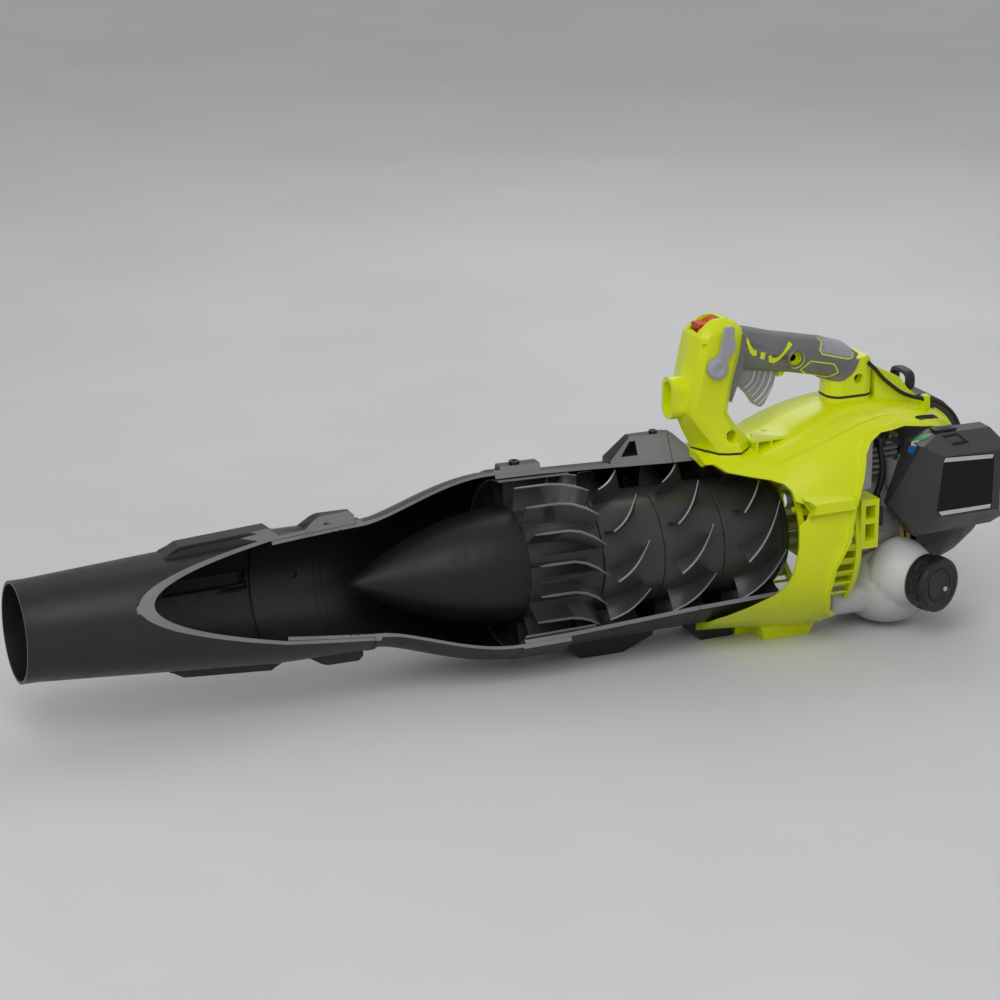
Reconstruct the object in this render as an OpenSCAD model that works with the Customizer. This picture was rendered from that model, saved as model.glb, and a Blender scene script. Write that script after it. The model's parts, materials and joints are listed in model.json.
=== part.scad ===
// Handheld petrol blower with a three-stage axial fan, shown with its air tubes cut open.
// X runs along the fan axis from the nozzle mouth (X = 0) to the engine, Z is up and -Y is the
// side that carries the fuel cap and the air filter.

/* [Section window] */
// Cut the near side of the air tubes open
cutaway = true; // [true, false]
// Tilt of the window above the horizontal, in degrees
window_tilt = 27; // [18:1:36]
// Distance from the axis to the window at the nozzle joint
window_front = 24; // [18:1:32]
// Distance from the axis to the window at the fan
window_rear = 41; // [34:1:46]
// Where the window starts on the nozzle, from the mouth
window_start = 98; // [80:1:110]

/* [Nozzle] */
// Outside diameter of the mouth
mouth_d = 90.8; // [84:0.2:98]
// Straight land behind the mouth
mouth_land = 14; // [12:1:20]
// Straight length behind the taper, which takes the diffuser's spigot
straight_len = 86; // [85:1:92]
// Outside diameter behind the taper
nozzle_d = 120; // [116:0.5:124]
// Whole length of the nozzle tube
nozzle_len = 316; // [300:1:330]
// Wall of the nozzle and the diffuser
tube_wall = 2.6; // [2:0.1:3.2]
// Height of the four stiffening rails
rail_h = 7; // [5:0.5:9]
// Width of a rail
rail_w = 24; // [18:1:28]
// Height of the two joint clasps
clasp_h = 8.5; // [6:0.5:10]

/* [Diffuser] */
// Length that slides inside the nozzle
spigot_len = 84; // [70:1:84]
// Radial gap between nozzle and spigot
spigot_gap = 0.35; // [0.3:0.05:0.6]
// Length of the bell, behind the nozzle joint
bell_len = 134; // [120:1:150]
// Outside diameter of the bell
bell_d = 173; // [168:0.5:178]
// Length of the sleeve over the fan duct
sleeve_len = 48; // [40:1:56]

/* [Fan duct] */
// Outside diameter at the front
duct_front_d = 168; // [164:0.5:172]
// Outside diameter at the rear
duct_rear_d = 161.6; // [158:0.4:165]
// Length of the front duct
duct_len = 175; // [165:1:185]
// Length of the intake ring behind it
intake_len = 92; // [84:1:100]
// Wall of both
duct_wall = 3.4; // [2.8:0.1:4]

/* [Stator] */
// Diameter of the hub line: cone, stator and fan
hub_d = 110; // [100:1:116]
// Wall of the hub cups
hub_wall = 3; // [2.4:0.1:4]
// Length of the tail cone
cone_len = 160; // [140:1:166]
// Length of the stator
stator_len = 72; // [64:1:76]
// Number of stator vanes
vane_count = 17; // [11:1:21]
// Thickness of a vane
vane_t = 2.2; // [1.6:0.1:3]
// Turn of a vane at its rear edge, in degrees
vane_turn = 13; // [6:1:20]

/* [Fan] */
// Length of one fan stage
stage_len = 61; // [56:1:64]
// Blades on one stage
blade_count = 10; // [7:1:12]
// Thickness of a blade
blade_t = 2; // [1.4:0.1:3]
// Diameter over the blade tips
fan_d = 150; // [144:0.5:151]
// Running gap between the hubs
hub_gap = 1.5; // [1:0.1:2.5]
// Diameter of the drive shaft
shaft_d = 16; // [12:0.5:20]

/* [Housing] */
// Wall of the housing shells
shell_wall = 3; // [2.4:0.1:4]
// Width of the housing over its flanks
housing_w = 200; // [190:1:208]
// Height of the hump above the axis
hump_h = 122; // [119:1:124]
// Depth of the resting plane below the axis
ground_h = 97; // [96:0.5:98]
// Width of the foot
foot_w = 88; // [80:1:96]

/* [Handle] */
// Width of the front post
post_w = 48; // [42:1:52]
// Bevel along the edges of the post
post_bevel = 11; // [6:0.5:13]
// Height of the post top above the axis
post_top = 214; // [208:1:220]
// Width of the grip
grip_w = 35; // [31:0.5:38]
// Height of the grip
grip_h = 37; // [34:0.5:39]
// Thickness of the rubber on the grip
grip_skin = 2.5; // [2:0.1:3.5]
// Thickness of the seals under the handle
seal_t = 2.5; // [2:0.1:3.5]

/* [Controls] */
// Thickness of the throttle trigger
trigger_w = 13; // [10:0.5:15]
// Diameter of the trigger pin
trigger_pin_d = 4; // [3:0.1:5]
// Diameter of the cruise lever hub
lever_d = 19; // [16:0.5:21]
// Diameter of the cruise lever pin
lever_pin_d = 5; // [4:0.1:6]
// Length of the cruise lever arm
lever_len = 43; // [36:0.5:44]
// Length of the stop switch rocker
switch_len = 24; // [20:0.5:26]
// Diameter of the throttle cable
cable_d = 4; // [3:0.1:5]

/* [Engine] */
// Diameter of the crankcase
crankcase_d = 88; // [80:1:92]
// Diameter of the cylinder barrel
barrel_d = 46; // [42:1:50]
// Number of cooling fins
fin_count = 7; // [5:1:8]
// Diameter of the starter housing
starter_d = 112; // [104:1:114]
// Diameter of the starter pulley
pulley_d = 60; // [54:1:66]
// Diameter of the starter rope
rope_d = 3.6; // [3:0.1:4.2]

/* [Air filter] */
// Length of the filter cover
filter_len = 112; // [104:1:114]
// Height of the filter cover
filter_h = 100; // [92:1:102]
// Depth of the filter cover
filter_depth = 46; // [40:1:48]
// Wall of the filter cover
filter_wall = 2.4; // [2:0.1:3]

/* [Fuel tank] */
// Length of the tank
tank_len = 106; // [96:1:110]
// Height of the tank
tank_h = 76; // [70:1:80]
// Diameter of the fuel cap
cap_d = 54; // [48:0.5:56]
// Height of the fuel cap
cap_h = 23; // [19:0.5:26]
// Outside diameter of the filler neck
neck_d = 40; // [34:0.5:42]

/* [Hidden] */
$fn = 64;

// Radii and stations along the axis
fit_gap = 0.1;
turn_gap = 0.35;
mouth_r = mouth_d / 2;
nozzle_r = nozzle_d / 2;
spigot_r = nozzle_r - tube_wall - spigot_gap;
bell_r = bell_d / 2;
sleeve_r = bell_r + 1.5;
pad_top = sleeve_r + 2;
screw_y = 16.5;
duct_front_r = duct_front_d / 2;
duct_rear_r = duct_rear_d / 2;
boss_top = duct_rear_r + 22.2;
hub_r = hub_d / 2;
fan_r = fan_d / 2;
shaft_r = shaft_d / 2;
x_joint = nozzle_len;
taper_len = nozzle_len - straight_len;
rail_start = taper_len - 96;
x_spigot = x_joint - spigot_len;
x_bell = x_joint + 2;
x_sleeve = x_bell + bell_len;
x_sleeve_end = x_sleeve + sleeve_len;
x_duct = x_sleeve + 3;
x_duct_end = x_duct + duct_len;
x_intake = x_duct_end + 0.5;
x_body = x_intake + intake_len;
x_stator = x_duct + 9;
x_stator_end = x_stator + stator_len;
x_cone = x_stator - cone_len;
x_fan = x_stator_end + hub_gap;
stage_pitch = stage_len + 0.5;
x_fan_end = x_fan + 3 * stage_pitch - 0.5;
bearing_w = 14;
bearing_r = 17;
x_bearing = x_stator + stator_len / 2;

// Stations behind the intake ring, measured from its rear face
half_w = housing_w / 2;
belly_z = duct_rear_r + 12;
plate_x = 63;
plate_t = 4;
crank_x = plate_x + plate_t;
crank_len = 72;
crank_r = crankcase_d / 2;
cyl_x = 103;
head_z = 104;
pad_z = 88;
post_z = pad_z + seal_t;
leg_pad_z = hump_h + 2;
leg_z = leg_pad_z + seal_t;
grip_z = post_top - 30;
filter_x = 101.5;
filter_back_y = -58;
filter_z = -2;
rope_x = 170;
rope_y = pulley_d / 2;
cap_at = [132.5, -86, -42.4];
cap_turn = 19;
post_screw_at = [-45, 0, pad_z + 17];
trigger_at = [-29, 0, post_top - 50];
lever_at = [-62, 0, post_top - 42];
switch_at = [-61, 0, post_top - 7];
latch_at = [158, filter_back_y - 20, filter_z + filter_h - 2];
arm_at = [126, -45];
choke_at = [filter_x + 26, 78];
bulb_y = 42.6;
bulb_at = [148, -bulb_y, sqrt(pow(starter_d / 2 + 15, 2) - bulb_y * bulb_y)];
cable_z = bulb_at[2] + 13.2;

// Cylinders and slabs along the three axes
module rod_x(x0, x1, r) translate([x0, 0, 0]) rotate([0, 90, 0]) cylinder(h = x1 - x0, r = r);
module rod_y(y0, y1, r) translate([0, y0, 0]) rotate([-90, 0, 0]) cylinder(h = y1 - y0, r = r);
module rod_z(z0, z1, r) translate([0, 0, z0]) cylinder(h = z1 - z0, r = r);
module slab_x(x0, x1) translate([x0, 0, 0]) rotate([90, 0, 90]) linear_extrude(x1 - x0) children();
module slab_y(y0, y1) translate([0, y1, 0]) rotate([90, 0, 0]) linear_extrude(y1 - y0) children();
module slab_z(z0, z1) translate([0, 0, z0]) linear_extrude(z1 - z0) children();
module box(p, q) translate(p) cube(q - p);
module rounded(p, q, r) {
    translate([p[0] + r, p[1]]) square([q[0] - p[0] - 2 * r, q[1] - p[1]]);
    translate([p[0], p[1] + r]) square([q[0] - p[0], q[1] - p[1] - 2 * r]);
    for (x = [p[0] + r, q[0] - r], y = [p[1] + r, q[1] - r]) translate([x, y]) circle(r = r);
}
// Block rounded in all three directions
module pillow(p, q, r) intersection() {
    slab_x(p[0], q[0]) rounded([p[1], p[2]], [q[1], q[2]], r);
    slab_y(p[1], q[1]) rounded([p[0], p[2]], [q[0], q[2]], r);
    slab_z(p[2], q[2]) rounded([p[0], p[1]], [q[0], q[1]], r);
}
module behind() translate([x_body, 0, 0]) children();

// Body of revolution about the axis; the points are [radius, x]
module revolve_x(points) rotate([0, 90, 0]) rotate_extrude() polygon(points);
module tube_x(x0, x1, ro, ri) revolve_x([[ro, x0], [ro, x1], [ri, x1], [ri, x0]]);

function ease(t) = let(u = min(1, max(0, t))) u * u * (3 - 2 * u);
function mix(a, b, t) = a + (b - a) * t;
function last(v) = v[len(v) - 1];

// Closed skin over rings of equal length, ordered along their path
function skin_faces(n, m) = concat(
    [for (i = [0:n - 2], j = [0:m - 1]) each let(k = (j + 1) % m)
        [[i * m + j, (i + 1) * m + j, (i + 1) * m + k], [i * m + j, (i + 1) * m + k, i * m + k]]],
    [[for (j = [0:m - 1]) j]],
    [[for (j = [m - 1:-1:0]) (n - 1) * m + j]]);
module skin(rings) polyhedron([for (r = rings) each r], skin_faces(len(rings), len(rings[0])));

// Window that opens the near side of the air tubes
function window_w(x) = let(t = (x - window_start) / (x_joint - window_start))
    t < 1 ? window_front + (taper_r(window_start) + 0.2 - window_front) * pow(1 - max(0, t), 0.9)
          : window_front + (window_rear - window_front) * (x - x_joint) / (x_body - x_joint);
module tube_window() {
    stations = [for (i = [0:16]) mix(window_start, x_joint, i / 16)];
    if (cutaway)
        rotate([180 - window_tilt, 0, 0]) linear_extrude(400, center = true)
            polygon(concat([for (x = stations) [x, window_w(x)]],
                [[x_body + 1, window_rear], [x_body + 1, 200], [window_start, 200]]));
}

// Window in the near housing shell, seen square to its plane
module housing_window() {
    outline = [[-95, 60], [-66, 57], [-58, 47], [-38, 39], [-21, 33], [-11, 27], [-6, 19], [-5, 9],
        [3, 5], [7, -2], [3, -9], [-5, -13], [-6, -33], [-10, -54], [-16, -65], [-26, -71],
        [-46, -77], [-64, -81], [-95, -85]];
    if (cutaway)
        rotate([90 - window_tilt, 0, 0]) linear_extrude(200) polygon(outline);
}

// ---- Nozzle and diffuser ----

function taper_r(x) = x < mouth_land ? mouth_r
    : min(nozzle_r, mix(mouth_r, nozzle_r, (x - mouth_land) / (taper_len - mouth_land)));

module nozzle_rail() {
    x0 = rail_start;
    x1 = taper_len + 9;
    side = [[x0, taper_r(x0) - 2], [x0, taper_r(x0)], [x0 + 14, taper_r(x0 + 14) + rail_h],
        [taper_len, nozzle_r + rail_h], [x1, nozzle_r], [x1, nozzle_r - 2]];
    low = [for (p = side) [p[0], p[1] - (p[1] > taper_r(p[0]) + 1 ? 2.5 : 0)]];
    slab_y(-rail_w / 2 + 3, rail_w / 2 - 3) polygon(side);
    slab_y(-rail_w / 2, rail_w / 2) polygon(low);
}

module rail_channel() {
    x0 = rail_start + 14;
    slab_y(-rail_w / 2 + 5, rail_w / 2 - 5)
        polygon([[x0, 0], [x0, taper_r(x0) + rail_h - 2.6], [taper_len - 2, nozzle_r + rail_h - 2.6],
            [taper_len - 2, 0]]);
}

module clasp() {
    top = nozzle_r + clasp_h;
    difference() {
        slab_y(-13, 13) polygon([[x_joint - 52, nozzle_r - 1], [x_joint - 40, top - 2],
            [x_joint - 34, top], [x_joint - 4, top], [x_joint, top - 4], [x_joint, nozzle_r - 1]]);
        slab_y(-9, 0) polygon([[x_joint - 32, nozzle_r + 1], [x_joint - 26, top - 2.5],
            [x_joint + 1, top - 2.5], [x_joint + 1, nozzle_r + 1]]);
    }
}

module nozzle() color("#232427") difference() {
    union() {
        revolve_x([[mouth_r, 0], [mouth_r, mouth_land], [nozzle_r, taper_len], [nozzle_r, x_joint],
            [nozzle_r - 6, x_joint], [nozzle_r - 6, taper_len], [mouth_r - 6, mouth_land],
            [mouth_r - 6, 0]]);
        for (a = [0, 180, 270]) rotate([a, 0, 0]) nozzle_rail();
        for (a = [0, 180]) rotate([a, 0, 0]) clasp();
    }
    revolve_x([[0, -1], [mouth_r - tube_wall, -1], [mouth_r - tube_wall, mouth_land],
        [nozzle_r - tube_wall, taper_len], [nozzle_r - tube_wall, x_joint + 1], [0, x_joint + 1]]);
    for (a = [0, 180, 270]) rotate([a, 0, 0]) rail_channel();
    tube_window();
}

function bell_outer(t) = mix(spigot_r, bell_r, ease(pow(t, 0.85)));

module diffuser() color("#26272a") difference() {
    union() {
        revolve_x(concat([[spigot_r, x_spigot], [spigot_r, x_joint + 0.5],
                [nozzle_r + 0.5, x_joint + 0.5], [nozzle_r + 0.5, x_joint + 5], [spigot_r + 1, x_joint + 7]],
            [for (i = [2:14]) [bell_outer(i / 14), x_bell + bell_len * i / 14]],
            [[sleeve_r, x_sleeve + 2], [sleeve_r, x_sleeve_end], [duct_front_r + fit_gap, x_sleeve_end],
                [duct_front_r + fit_gap, x_sleeve + 2.5], [bell_r - tube_wall, x_sleeve + 2.5]],
            [for (i = [14:-1:0]) [bell_outer(i / 14) - tube_wall, x_bell + bell_len * i / 14]],
            [[spigot_r - tube_wall, x_spigot]]));
        slab_x(x_sleeve + 9, x_sleeve_end) polygon([[-26, sleeve_r - 6], [-23, pad_top],
            [23, pad_top], [26, sleeve_r - 6]]);
    }
    rod_x(x_sleeve + 2.5, x_sleeve_end + 1, duct_front_r + fit_gap);
    rod_x(x_sleeve - 4, x_sleeve_end + 1, bell_r - tube_wall - 3.3);
    for (x = [x_joint - 24, x_joint - 17]) tube_x(x, x + 1.2, spigot_r - tube_wall + 0.8, 40);
    rotate([-92, 0, 0]) translate([x_joint - 43, 0, 0]) rod_z(40, spigot_r + 1, 4.5);
    screw_holes();
    tube_window();
}

// ---- Fan duct ----

function duct_r(x) = x < x_sleeve_end ? duct_front_r
    : mix(duct_front_r, duct_rear_r, (x - x_sleeve_end) / (x_duct_end - x_sleeve_end));

module bore_duct() {
    revolve_x([[0, x_duct - 1], [duct_front_r - duct_wall, x_duct - 1],
        [duct_front_r - duct_wall, x_sleeve_end], [duct_rear_r - duct_wall, x_duct_end],
        [duct_rear_r - duct_wall, x_body - 16], [duct_rear_r - 1.5, x_body + 1], [0, x_body + 1]]);
}

// Raised boss that houses the joint bolt between duct and intake ring
module top_boss(x0, x1, front) {
    slope = front ? [[x0 - 18, duct_rear_r - 6], [x0 - 18, duct_r(x0 - 18) + 2], [x0 + 5, boss_top]]
                  : [[x0, duct_rear_r - 6], [x0, boss_top - 0.6], [x0 + 5, boss_top - 1]];
    tail = front ? [[x1, boss_top], [x1, duct_rear_r - 6]]
                 : [[x1 + 1.5, duct_rear_r + 9], [x1 + 1.5, duct_rear_r - 6]];
    slab_y(-22, 22) polygon(concat(slope, tail));
}

module duct_foot(x0, x1, fall) slab_y(-20, 20)
    polygon([[x0, -duct_rear_r + 4], [x0, -duct_r(x0)], [x0 + 15, -ground_h], [x1, -ground_h],
        [x1 + fall, -duct_rear_r - 3], [x1 + fall, -duct_rear_r + 4]]);

module fan_duct() color("#1f2023") difference() {
    union() {
        revolve_x([[duct_front_r, x_duct], [duct_front_r, x_sleeve_end], [duct_rear_r, x_duct_end],
            [duct_rear_r - 8, x_duct_end], [duct_rear_r - 8, x_duct]]);
        intersection() {
            top_boss(x_duct_end - 43, x_duct_end, true);
            box([x_sleeve_end, -30, 60], [x_duct_end, 30, 120]);
        }
        duct_foot(x_duct_end - 115, x_duct_end - 58, 32);
    }
    slab_y(-18, 18) polygon([[x_duct_end - 50, duct_rear_r + 6], [x_duct_end - 39, boss_top - 4],
        [x_duct_end - 33, boss_top - 4], [x_duct_end - 33, duct_rear_r + 6]]);
    screw_holes();
    bore_duct();
    tube_window();
}

module intake_ring() color("#1f2023") difference() {
    union() {
        tube_x(x_intake, x_body, duct_rear_r, duct_rear_r - 8);
        tube_x(x_body - 12, x_body, duct_rear_r + 2.5, duct_rear_r - 3);
        top_boss(x_intake, x_intake + 16, false);
        duct_foot(x_intake + 9, x_intake + 56, 4);
    }
    bore_duct();
    tube_window();
}

module duct_screws() color("#8b8d90") {
    translate([x_sleeve + 25, screw_y, 0]) {
        rod_z(duct_front_r - 5, pad_top, 2.5);
        difference() {
            rod_z(pad_top, pad_top + 3, 5);
            rod_z(pad_top + 1.6, pad_top + 4, 2.2);
        }
    }
    translate([x_duct_end - 12, screw_y, 0]) {
        rod_z(boss_top - 11, boss_top, 2);
        difference() {
            rod_z(boss_top, boss_top + 2.6, 4);
            rod_z(boss_top + 1.4, boss_top + 3, 2);
        }
    }
}

module screw_holes() {
    translate([x_sleeve + 25, screw_y, 0]) rod_z(70, pad_top + 1, 2.55);
    translate([x_duct_end - 12, screw_y, 0]) rod_z(boss_top - 11.05, boss_top + 1, 2.05);
}

// ---- Stator and tail cone ----

function cyl_pt(x, r, a) = [x, -r * sin(a), r * cos(a)];
function edge_pts(r, path, t) = [for (i = [0:len(path) - 1])
    let(p = path[i], q = path[min(i + 1, len(path) - 1)], o = path[max(i - 1, 0)],
        dx = q[0] - o[0], ds = (q[1] - o[1]) * PI / 180 * r, l = norm([dx, ds]),
        h = t / 2 * (i == 0 || i == len(path) - 1 ? 0.45 : 1), turn = h * 180 / PI / r)
    each [cyl_pt(p[0] - ds / l * h, r, p[1] + dx / l * turn),
          cyl_pt(p[0] + ds / l * h, r, p[1] - dx / l * turn)]];

// Blade between two radii; each path is a list of [x, angle]
module blade(r0, r1, path0, path1, t) {
    n = len(path0);
    k = 2 * n;
    e = 2 * (n - 1);
    polyhedron(concat(edge_pts(r0, path0, t), edge_pts(r1, path1, t)), concat(
        [for (i = [0:n - 2]) each let(a = 2 * i, b = a + 1, c = a + 2, d = a + 3)
            [[a, k + a, k + c], [a, k + c, c], [b, d, k + d], [b, k + d, k + b],
             [k + a, k + b, k + d], [k + a, k + d, k + c], [a, c, d], [a, d, b]]],
        [[0, 1, k + 1], [0, k + 1, k], [e, k + e, k + e + 1], [e, k + e + 1, e + 1]]));
}

module stator_vane() {
    path = [for (i = [0:6]) let(t = i / 6)
        [x_stator + (stator_len - 5) * t, vane_turn * pow(max(0, (t - 0.45) / 0.55), 2)]];
    blade(hub_r - 1, duct_rear_r - duct_wall + 1, path, path, vane_t);
}

function cone_r(t) = (hub_r - 0.5) * (1 - pow(1 - t, 2));
module tail_cone() color("#26272a") {
    steps = 10;
    revolve_x(concat([for (i = [0:steps]) [cone_r(i / steps), x_cone + cone_len * i / steps]],
        [for (i = [steps:-1:1]) [max(0, cone_r(i / steps) - hub_wall), x_cone + cone_len * i / steps]],
        [[0, x_cone + 3 * cone_len / 40]]));
}

module stator() color("#2c2d30") {
    shroud_r = duct_rear_r - duct_wall + 1.6;
    difference() {
        tube_x(x_stator - 7, x_stator_end - 10, shroud_r, shroud_r - 1.8);
        tube_window();
    }
    tube_x(x_stator, x_stator_end, hub_r, hub_r - hub_wall);
    tube_x(x_stator, x_stator + 3, hub_r - hub_wall + 1, 20);
    difference() {
        union() {
            tube_x(x_bearing - 3, x_bearing + 3, hub_r - hub_wall + 1, bearing_r);
            tube_x(x_bearing - bearing_w / 2, x_bearing + bearing_w / 2 + 3, bearing_r + 4, bearing_r);
        }
        for (a = [0:60:300]) rotate([a, 0, 0]) translate([0, 0, (hub_r + bearing_r) / 2])
            rod_x(x_bearing - 4, x_bearing + 4, 7);
    }
    for (i = [0:vane_count - 1]) rotate([53 + i * 360 / vane_count, 0, 0]) stator_vane();
}

module stator_bearing() color("#b9bcc0") {
    x0 = x_bearing - bearing_w / 2;
    tube_x(x0, x0 + bearing_w, bearing_r, bearing_r - 3);
    tube_x(x0, x0 + bearing_w, shaft_r + 3, shaft_r + 0.05);
    tube_x(x0 + 1, x0 + bearing_w - 1, bearing_r - 3, shaft_r + 3);
}

// ---- Fan ----

stage_chord = [36, 38, 42];
stage_turn = [27, 33, 42];
stage_first = [44, 42, 72];
stage_ahead = [9, 5, -4];

module fan_blade(i) {
    mid = x_fan + i * stage_pitch + stage_len / 2 - stage_ahead[i];
    c = stage_chord[i];
    w = stage_turn[i];
    root = [for (k = [0:5]) let(t = k / 5)
        [mid - c * 0.5 + c * t, w * (0.5 - t) * 0.62 + 6 * sin(180 * t)]];
    tip = [for (k = [0:5]) let(t = k / 5)
        [mid - c * 0.46 + c * 0.92 * t, w * (0.5 - t) + 4 * sin(180 * t)]];
    blade(hub_r - 1, fan_r, root, tip, blade_t);
}

module fan_stage(i) {
    x0 = x_fan + i * stage_pitch;
    x1 = x0 + stage_len;
    tube_x(x0, x1, hub_r, hub_r - hub_wall);
    tube_x(x0 + 4, x0 + 8, hub_r - hub_wall + 1, shaft_r + 7);
    tube_x(x0, x1, shaft_r + 8, shaft_r);
    for (b = [0:blade_count - 1]) rotate([stage_first[i] + b * 360 / blade_count, 0, 0]) fan_blade(i);
}

module fan_stage_1() color("#3a3a3c") fan_stage(0);
module fan_stage_2() color("#3a3a3c") fan_stage(1);
module fan_stage_3() color("#3a3a3c") fan_stage(2);

module fan_spinner() color("#3a3a3c") difference() {
    revolve_x([[0, x_fan_end + 0.2], [hub_r, x_fan_end + 0.2], [hub_r - 6, x_fan_end + 9],
        [hub_r - 20, x_fan_end + 16], [shaft_r + 9, x_fan_end + 20], [shaft_r + 8, x_fan_end + 26],
        [0, x_fan_end + 26]]);
    rod_x(x_fan_end, x_fan_end + 30, shaft_r);
    revolve_x([[0, x_fan_end], [hub_r - 4, x_fan_end], [hub_r - 10, x_fan_end + 7],
        [shaft_r + 6, x_fan_end + 14], [0, x_fan_end + 14]]);
}

module drive_shaft() color("#a9abae") rod_x(x_bearing - 12, x_body + crank_x + 12, shaft_r);

// Locking nut in front of the bearing
module fan_nut() color("#8b8d90") difference() {
    translate([x_bearing - 19, 0, 0]) rotate([0, 90, 0]) cylinder(h = 11, r = shaft_r + 4, $fn = 6);
    rod_x(x_bearing - 12, x_bearing, shaft_r);
}

// ---- Housing ----

// Sections of the housing: [x, half width, top, belly, fullness]
function sections(t) = [for (s = [
        [-74, half_w - 12, hump_h - 33, belly_z - 5, 2],
        [-60, half_w - 10, hump_h - 32, belly_z - 4, 2],
        [-40, half_w - 8, hump_h - 31, belly_z - 3, 2.05],
        [-18, half_w - 5, hump_h - 29, belly_z - 1, 2.1],
        [0, half_w - 3, hump_h - 22, belly_z, 2.2],
        [18, half_w - 1, hump_h - 14, belly_z, 2.3],
        [36, half_w, hump_h - 8, belly_z, 2.35],
        [56, half_w, hump_h - 3, belly_z, 2.4],
        [78, half_w, hump_h, belly_z, 2.45],
        [104, half_w - 2, hump_h, belly_z, 2.45],
        [126, half_w - 6, hump_h - 3, belly_z, 2.4],
        [148, half_w - 13, hump_h - 8, belly_z, 2.4],
        [168, half_w - 22, hump_h - 15, belly_z, 2.4],
        [190, half_w - 38, hump_h - 26, belly_z, 2.4]])
    [s[0], s[1] - t, s[2] - t, s[3] - t, s[4]]];

// A sunk band with two sharp edges runs up each shoulder from the front to the tail
band_depth = 3.2;
function band_low(x) = 56 + 12 * ease((x - 15) / 115);
function band_high(x) = 66.5 + 10.5 * ease((x + 5) / 105);
function band_fade(x) = ease((x + 22) / 26) * (1 - ease((x - 112) / 24));
function side_angles(x) = let(lo = band_low(x), hi = band_high(x)) concat(
    [for (i = [0:8]) (lo - 1.4) * i / 8], [lo + 1.4, (lo + hi) / 2, hi - 1.4],
    [for (i = [0:2]) mix(hi + 1.4, 90, i / 3)]);
function ring_angles(x) = let(v = side_angles(x), n = len(v)) concat(v, [90],
    [for (i = [n - 1:-1:0]) 180 - v[i]], [for (i = [1:21]) 180 + i * 180 / 22]);
function in_band(x, a) = let(side = 90 - abs(90 - a))
    a < 180 && side > band_low(x) && side < band_high(x) ? band_depth * band_fade(x) : 0;
function power(v, n) = sign(v) * pow(abs(v), 2 / n);
function section_ring(s) = [for (a = ring_angles(s[0])) let(c = cos(a), b = sin(a),
    r = 1 - in_band(s[0], a) / s[2])
    [s[0], s[1] * power(c, s[4]) * r, (b > 0 ? s[2] : s[3]) * power(b, s[4]) * r]];

module housing_skin(t, grow = 0) {
    list = sections(t);
    ends = [for (i = [0:len(list) - 1]) let(s = list[i],
        g = i == 0 ? -grow : i == len(list) - 1 ? grow : 0) [s[0] + g, s[1], s[2], s[3], s[4]]];
    skin([for (s = ends) section_ring(s)]);
}

// Side outline: the flanks end in a curved rear edge and the deck runs on over the engine
module side_outline(tail) polygon(concat([[-75, -130], [30, -130], [30, -90], [44, -67],
    [33, -58], [28, -38], [31, -14], [45, 12], [50, 38], [64, 72], [70, 88], [78, 97], [92, 103],
    [122, 104]],
    tail > 150 ? [[154, 98], [178, 92], [tail, 84]] : [[tail, 104]], [[tail, 130], [-75, 130]]));

module foot() {
    h = foot_w / 2;
    intersection() {
        slab_y(-h - 4, h + 4)
            polygon([[-13, -ground_h], [34.5, -ground_h], [45.5, -68], [-31, -66], [-18, -80]]);
        slab_x(-40, 60) polygon([[-h + 14, -60], [-h - 3, 11 - ground_h], [-h, -ground_h],
            [h, -ground_h], [h + 3, 11 - ground_h], [h - 14, -60]]);
    }
}

module rear_keel() slab_y(-20, 20)
    polygon([[-31.5, -ground_h], [-12, -ground_h], [-12, -80], [-31.5, -86]]);

module fairing() {
    slab_y(-13, 13) polygon([[114.4, hump_h - 4], [114.4, post_top - 63], [142, post_top - 77],
        [150, post_top - 88], [178, hump_h - 20], [178, hump_h - 30]]);
}

// Plan of the post at one height, with a ridge at the front and bevels beside it. A row is
// [height, ridge x, front x, front half width, flare x, flare half width, rear x, rear half width]
function post_plan(r, grow = 0) = let(b = post_bevel, k = post_w / 48,
    half = [[r[2], r[3] - 0.36 * b], [r[2] + 0.7 * b, r[3]], [r[4], r[5]], [r[6], r[7]]],
    plan = concat([[r[1], 0]], [for (p = half) [p[0], -p[1]]],
        [for (i = [3:-1:0]) half[i]]))
    [for (p = plan) [-46 + (p[0] + 46) * (1 + grow / 30), p[1] * k * (1 + grow / 33)]];
post_rows = [
    [post_z, -73, -58, 33.5, -38, 36.3, -19, 18.6],
    [post_z + 6, -76.5, -62, 32.5, -39, 35, -21, 18.6],
    [post_z + 18, -83, -71.5, 29, -44, 29.5, -33, 18],
    [post_z + 34, -89.5, -83, 24.5, -52, 24.3, -44, 17],
    [post_top - 84, -91, -86, 24, -51, 24, -43.5, 17],
    [post_top - 60, -86, -82.5, 23.7, -47, 24, -39.5, 17],
    [post_top - 32, -80.5, -77.5, 23.4, -41, 24, -32, 17],
    [post_top - 15, -77, -74.5, 22, -38, 23, -29.5, 16],
    [post_top - 9, -72, -70, 20, -40, 20.5, -31, 15],
    [post_top - 3, -65, -63, 16, -45, 16, -37, 12],
    [post_top, -60, -58, 13, -49, 12, -44, 9]];
module post_pad(z0, z1, grow) slab_z(z0, z1) polygon(post_plan(post_rows[0], grow));
module leg_pad(z0, z1, grow)
    slab_z(z0, z1) rounded([66 - grow, -17 - grow], [113 + grow, 17 + grow], 13 + grow);

module flank_rib() slab_x(-1, 48)
    polygon([[-half_w + 12, 58], [-half_w - 1, 53], [-half_w - 3, 44], [-half_w + 6, 38]]);

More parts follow.
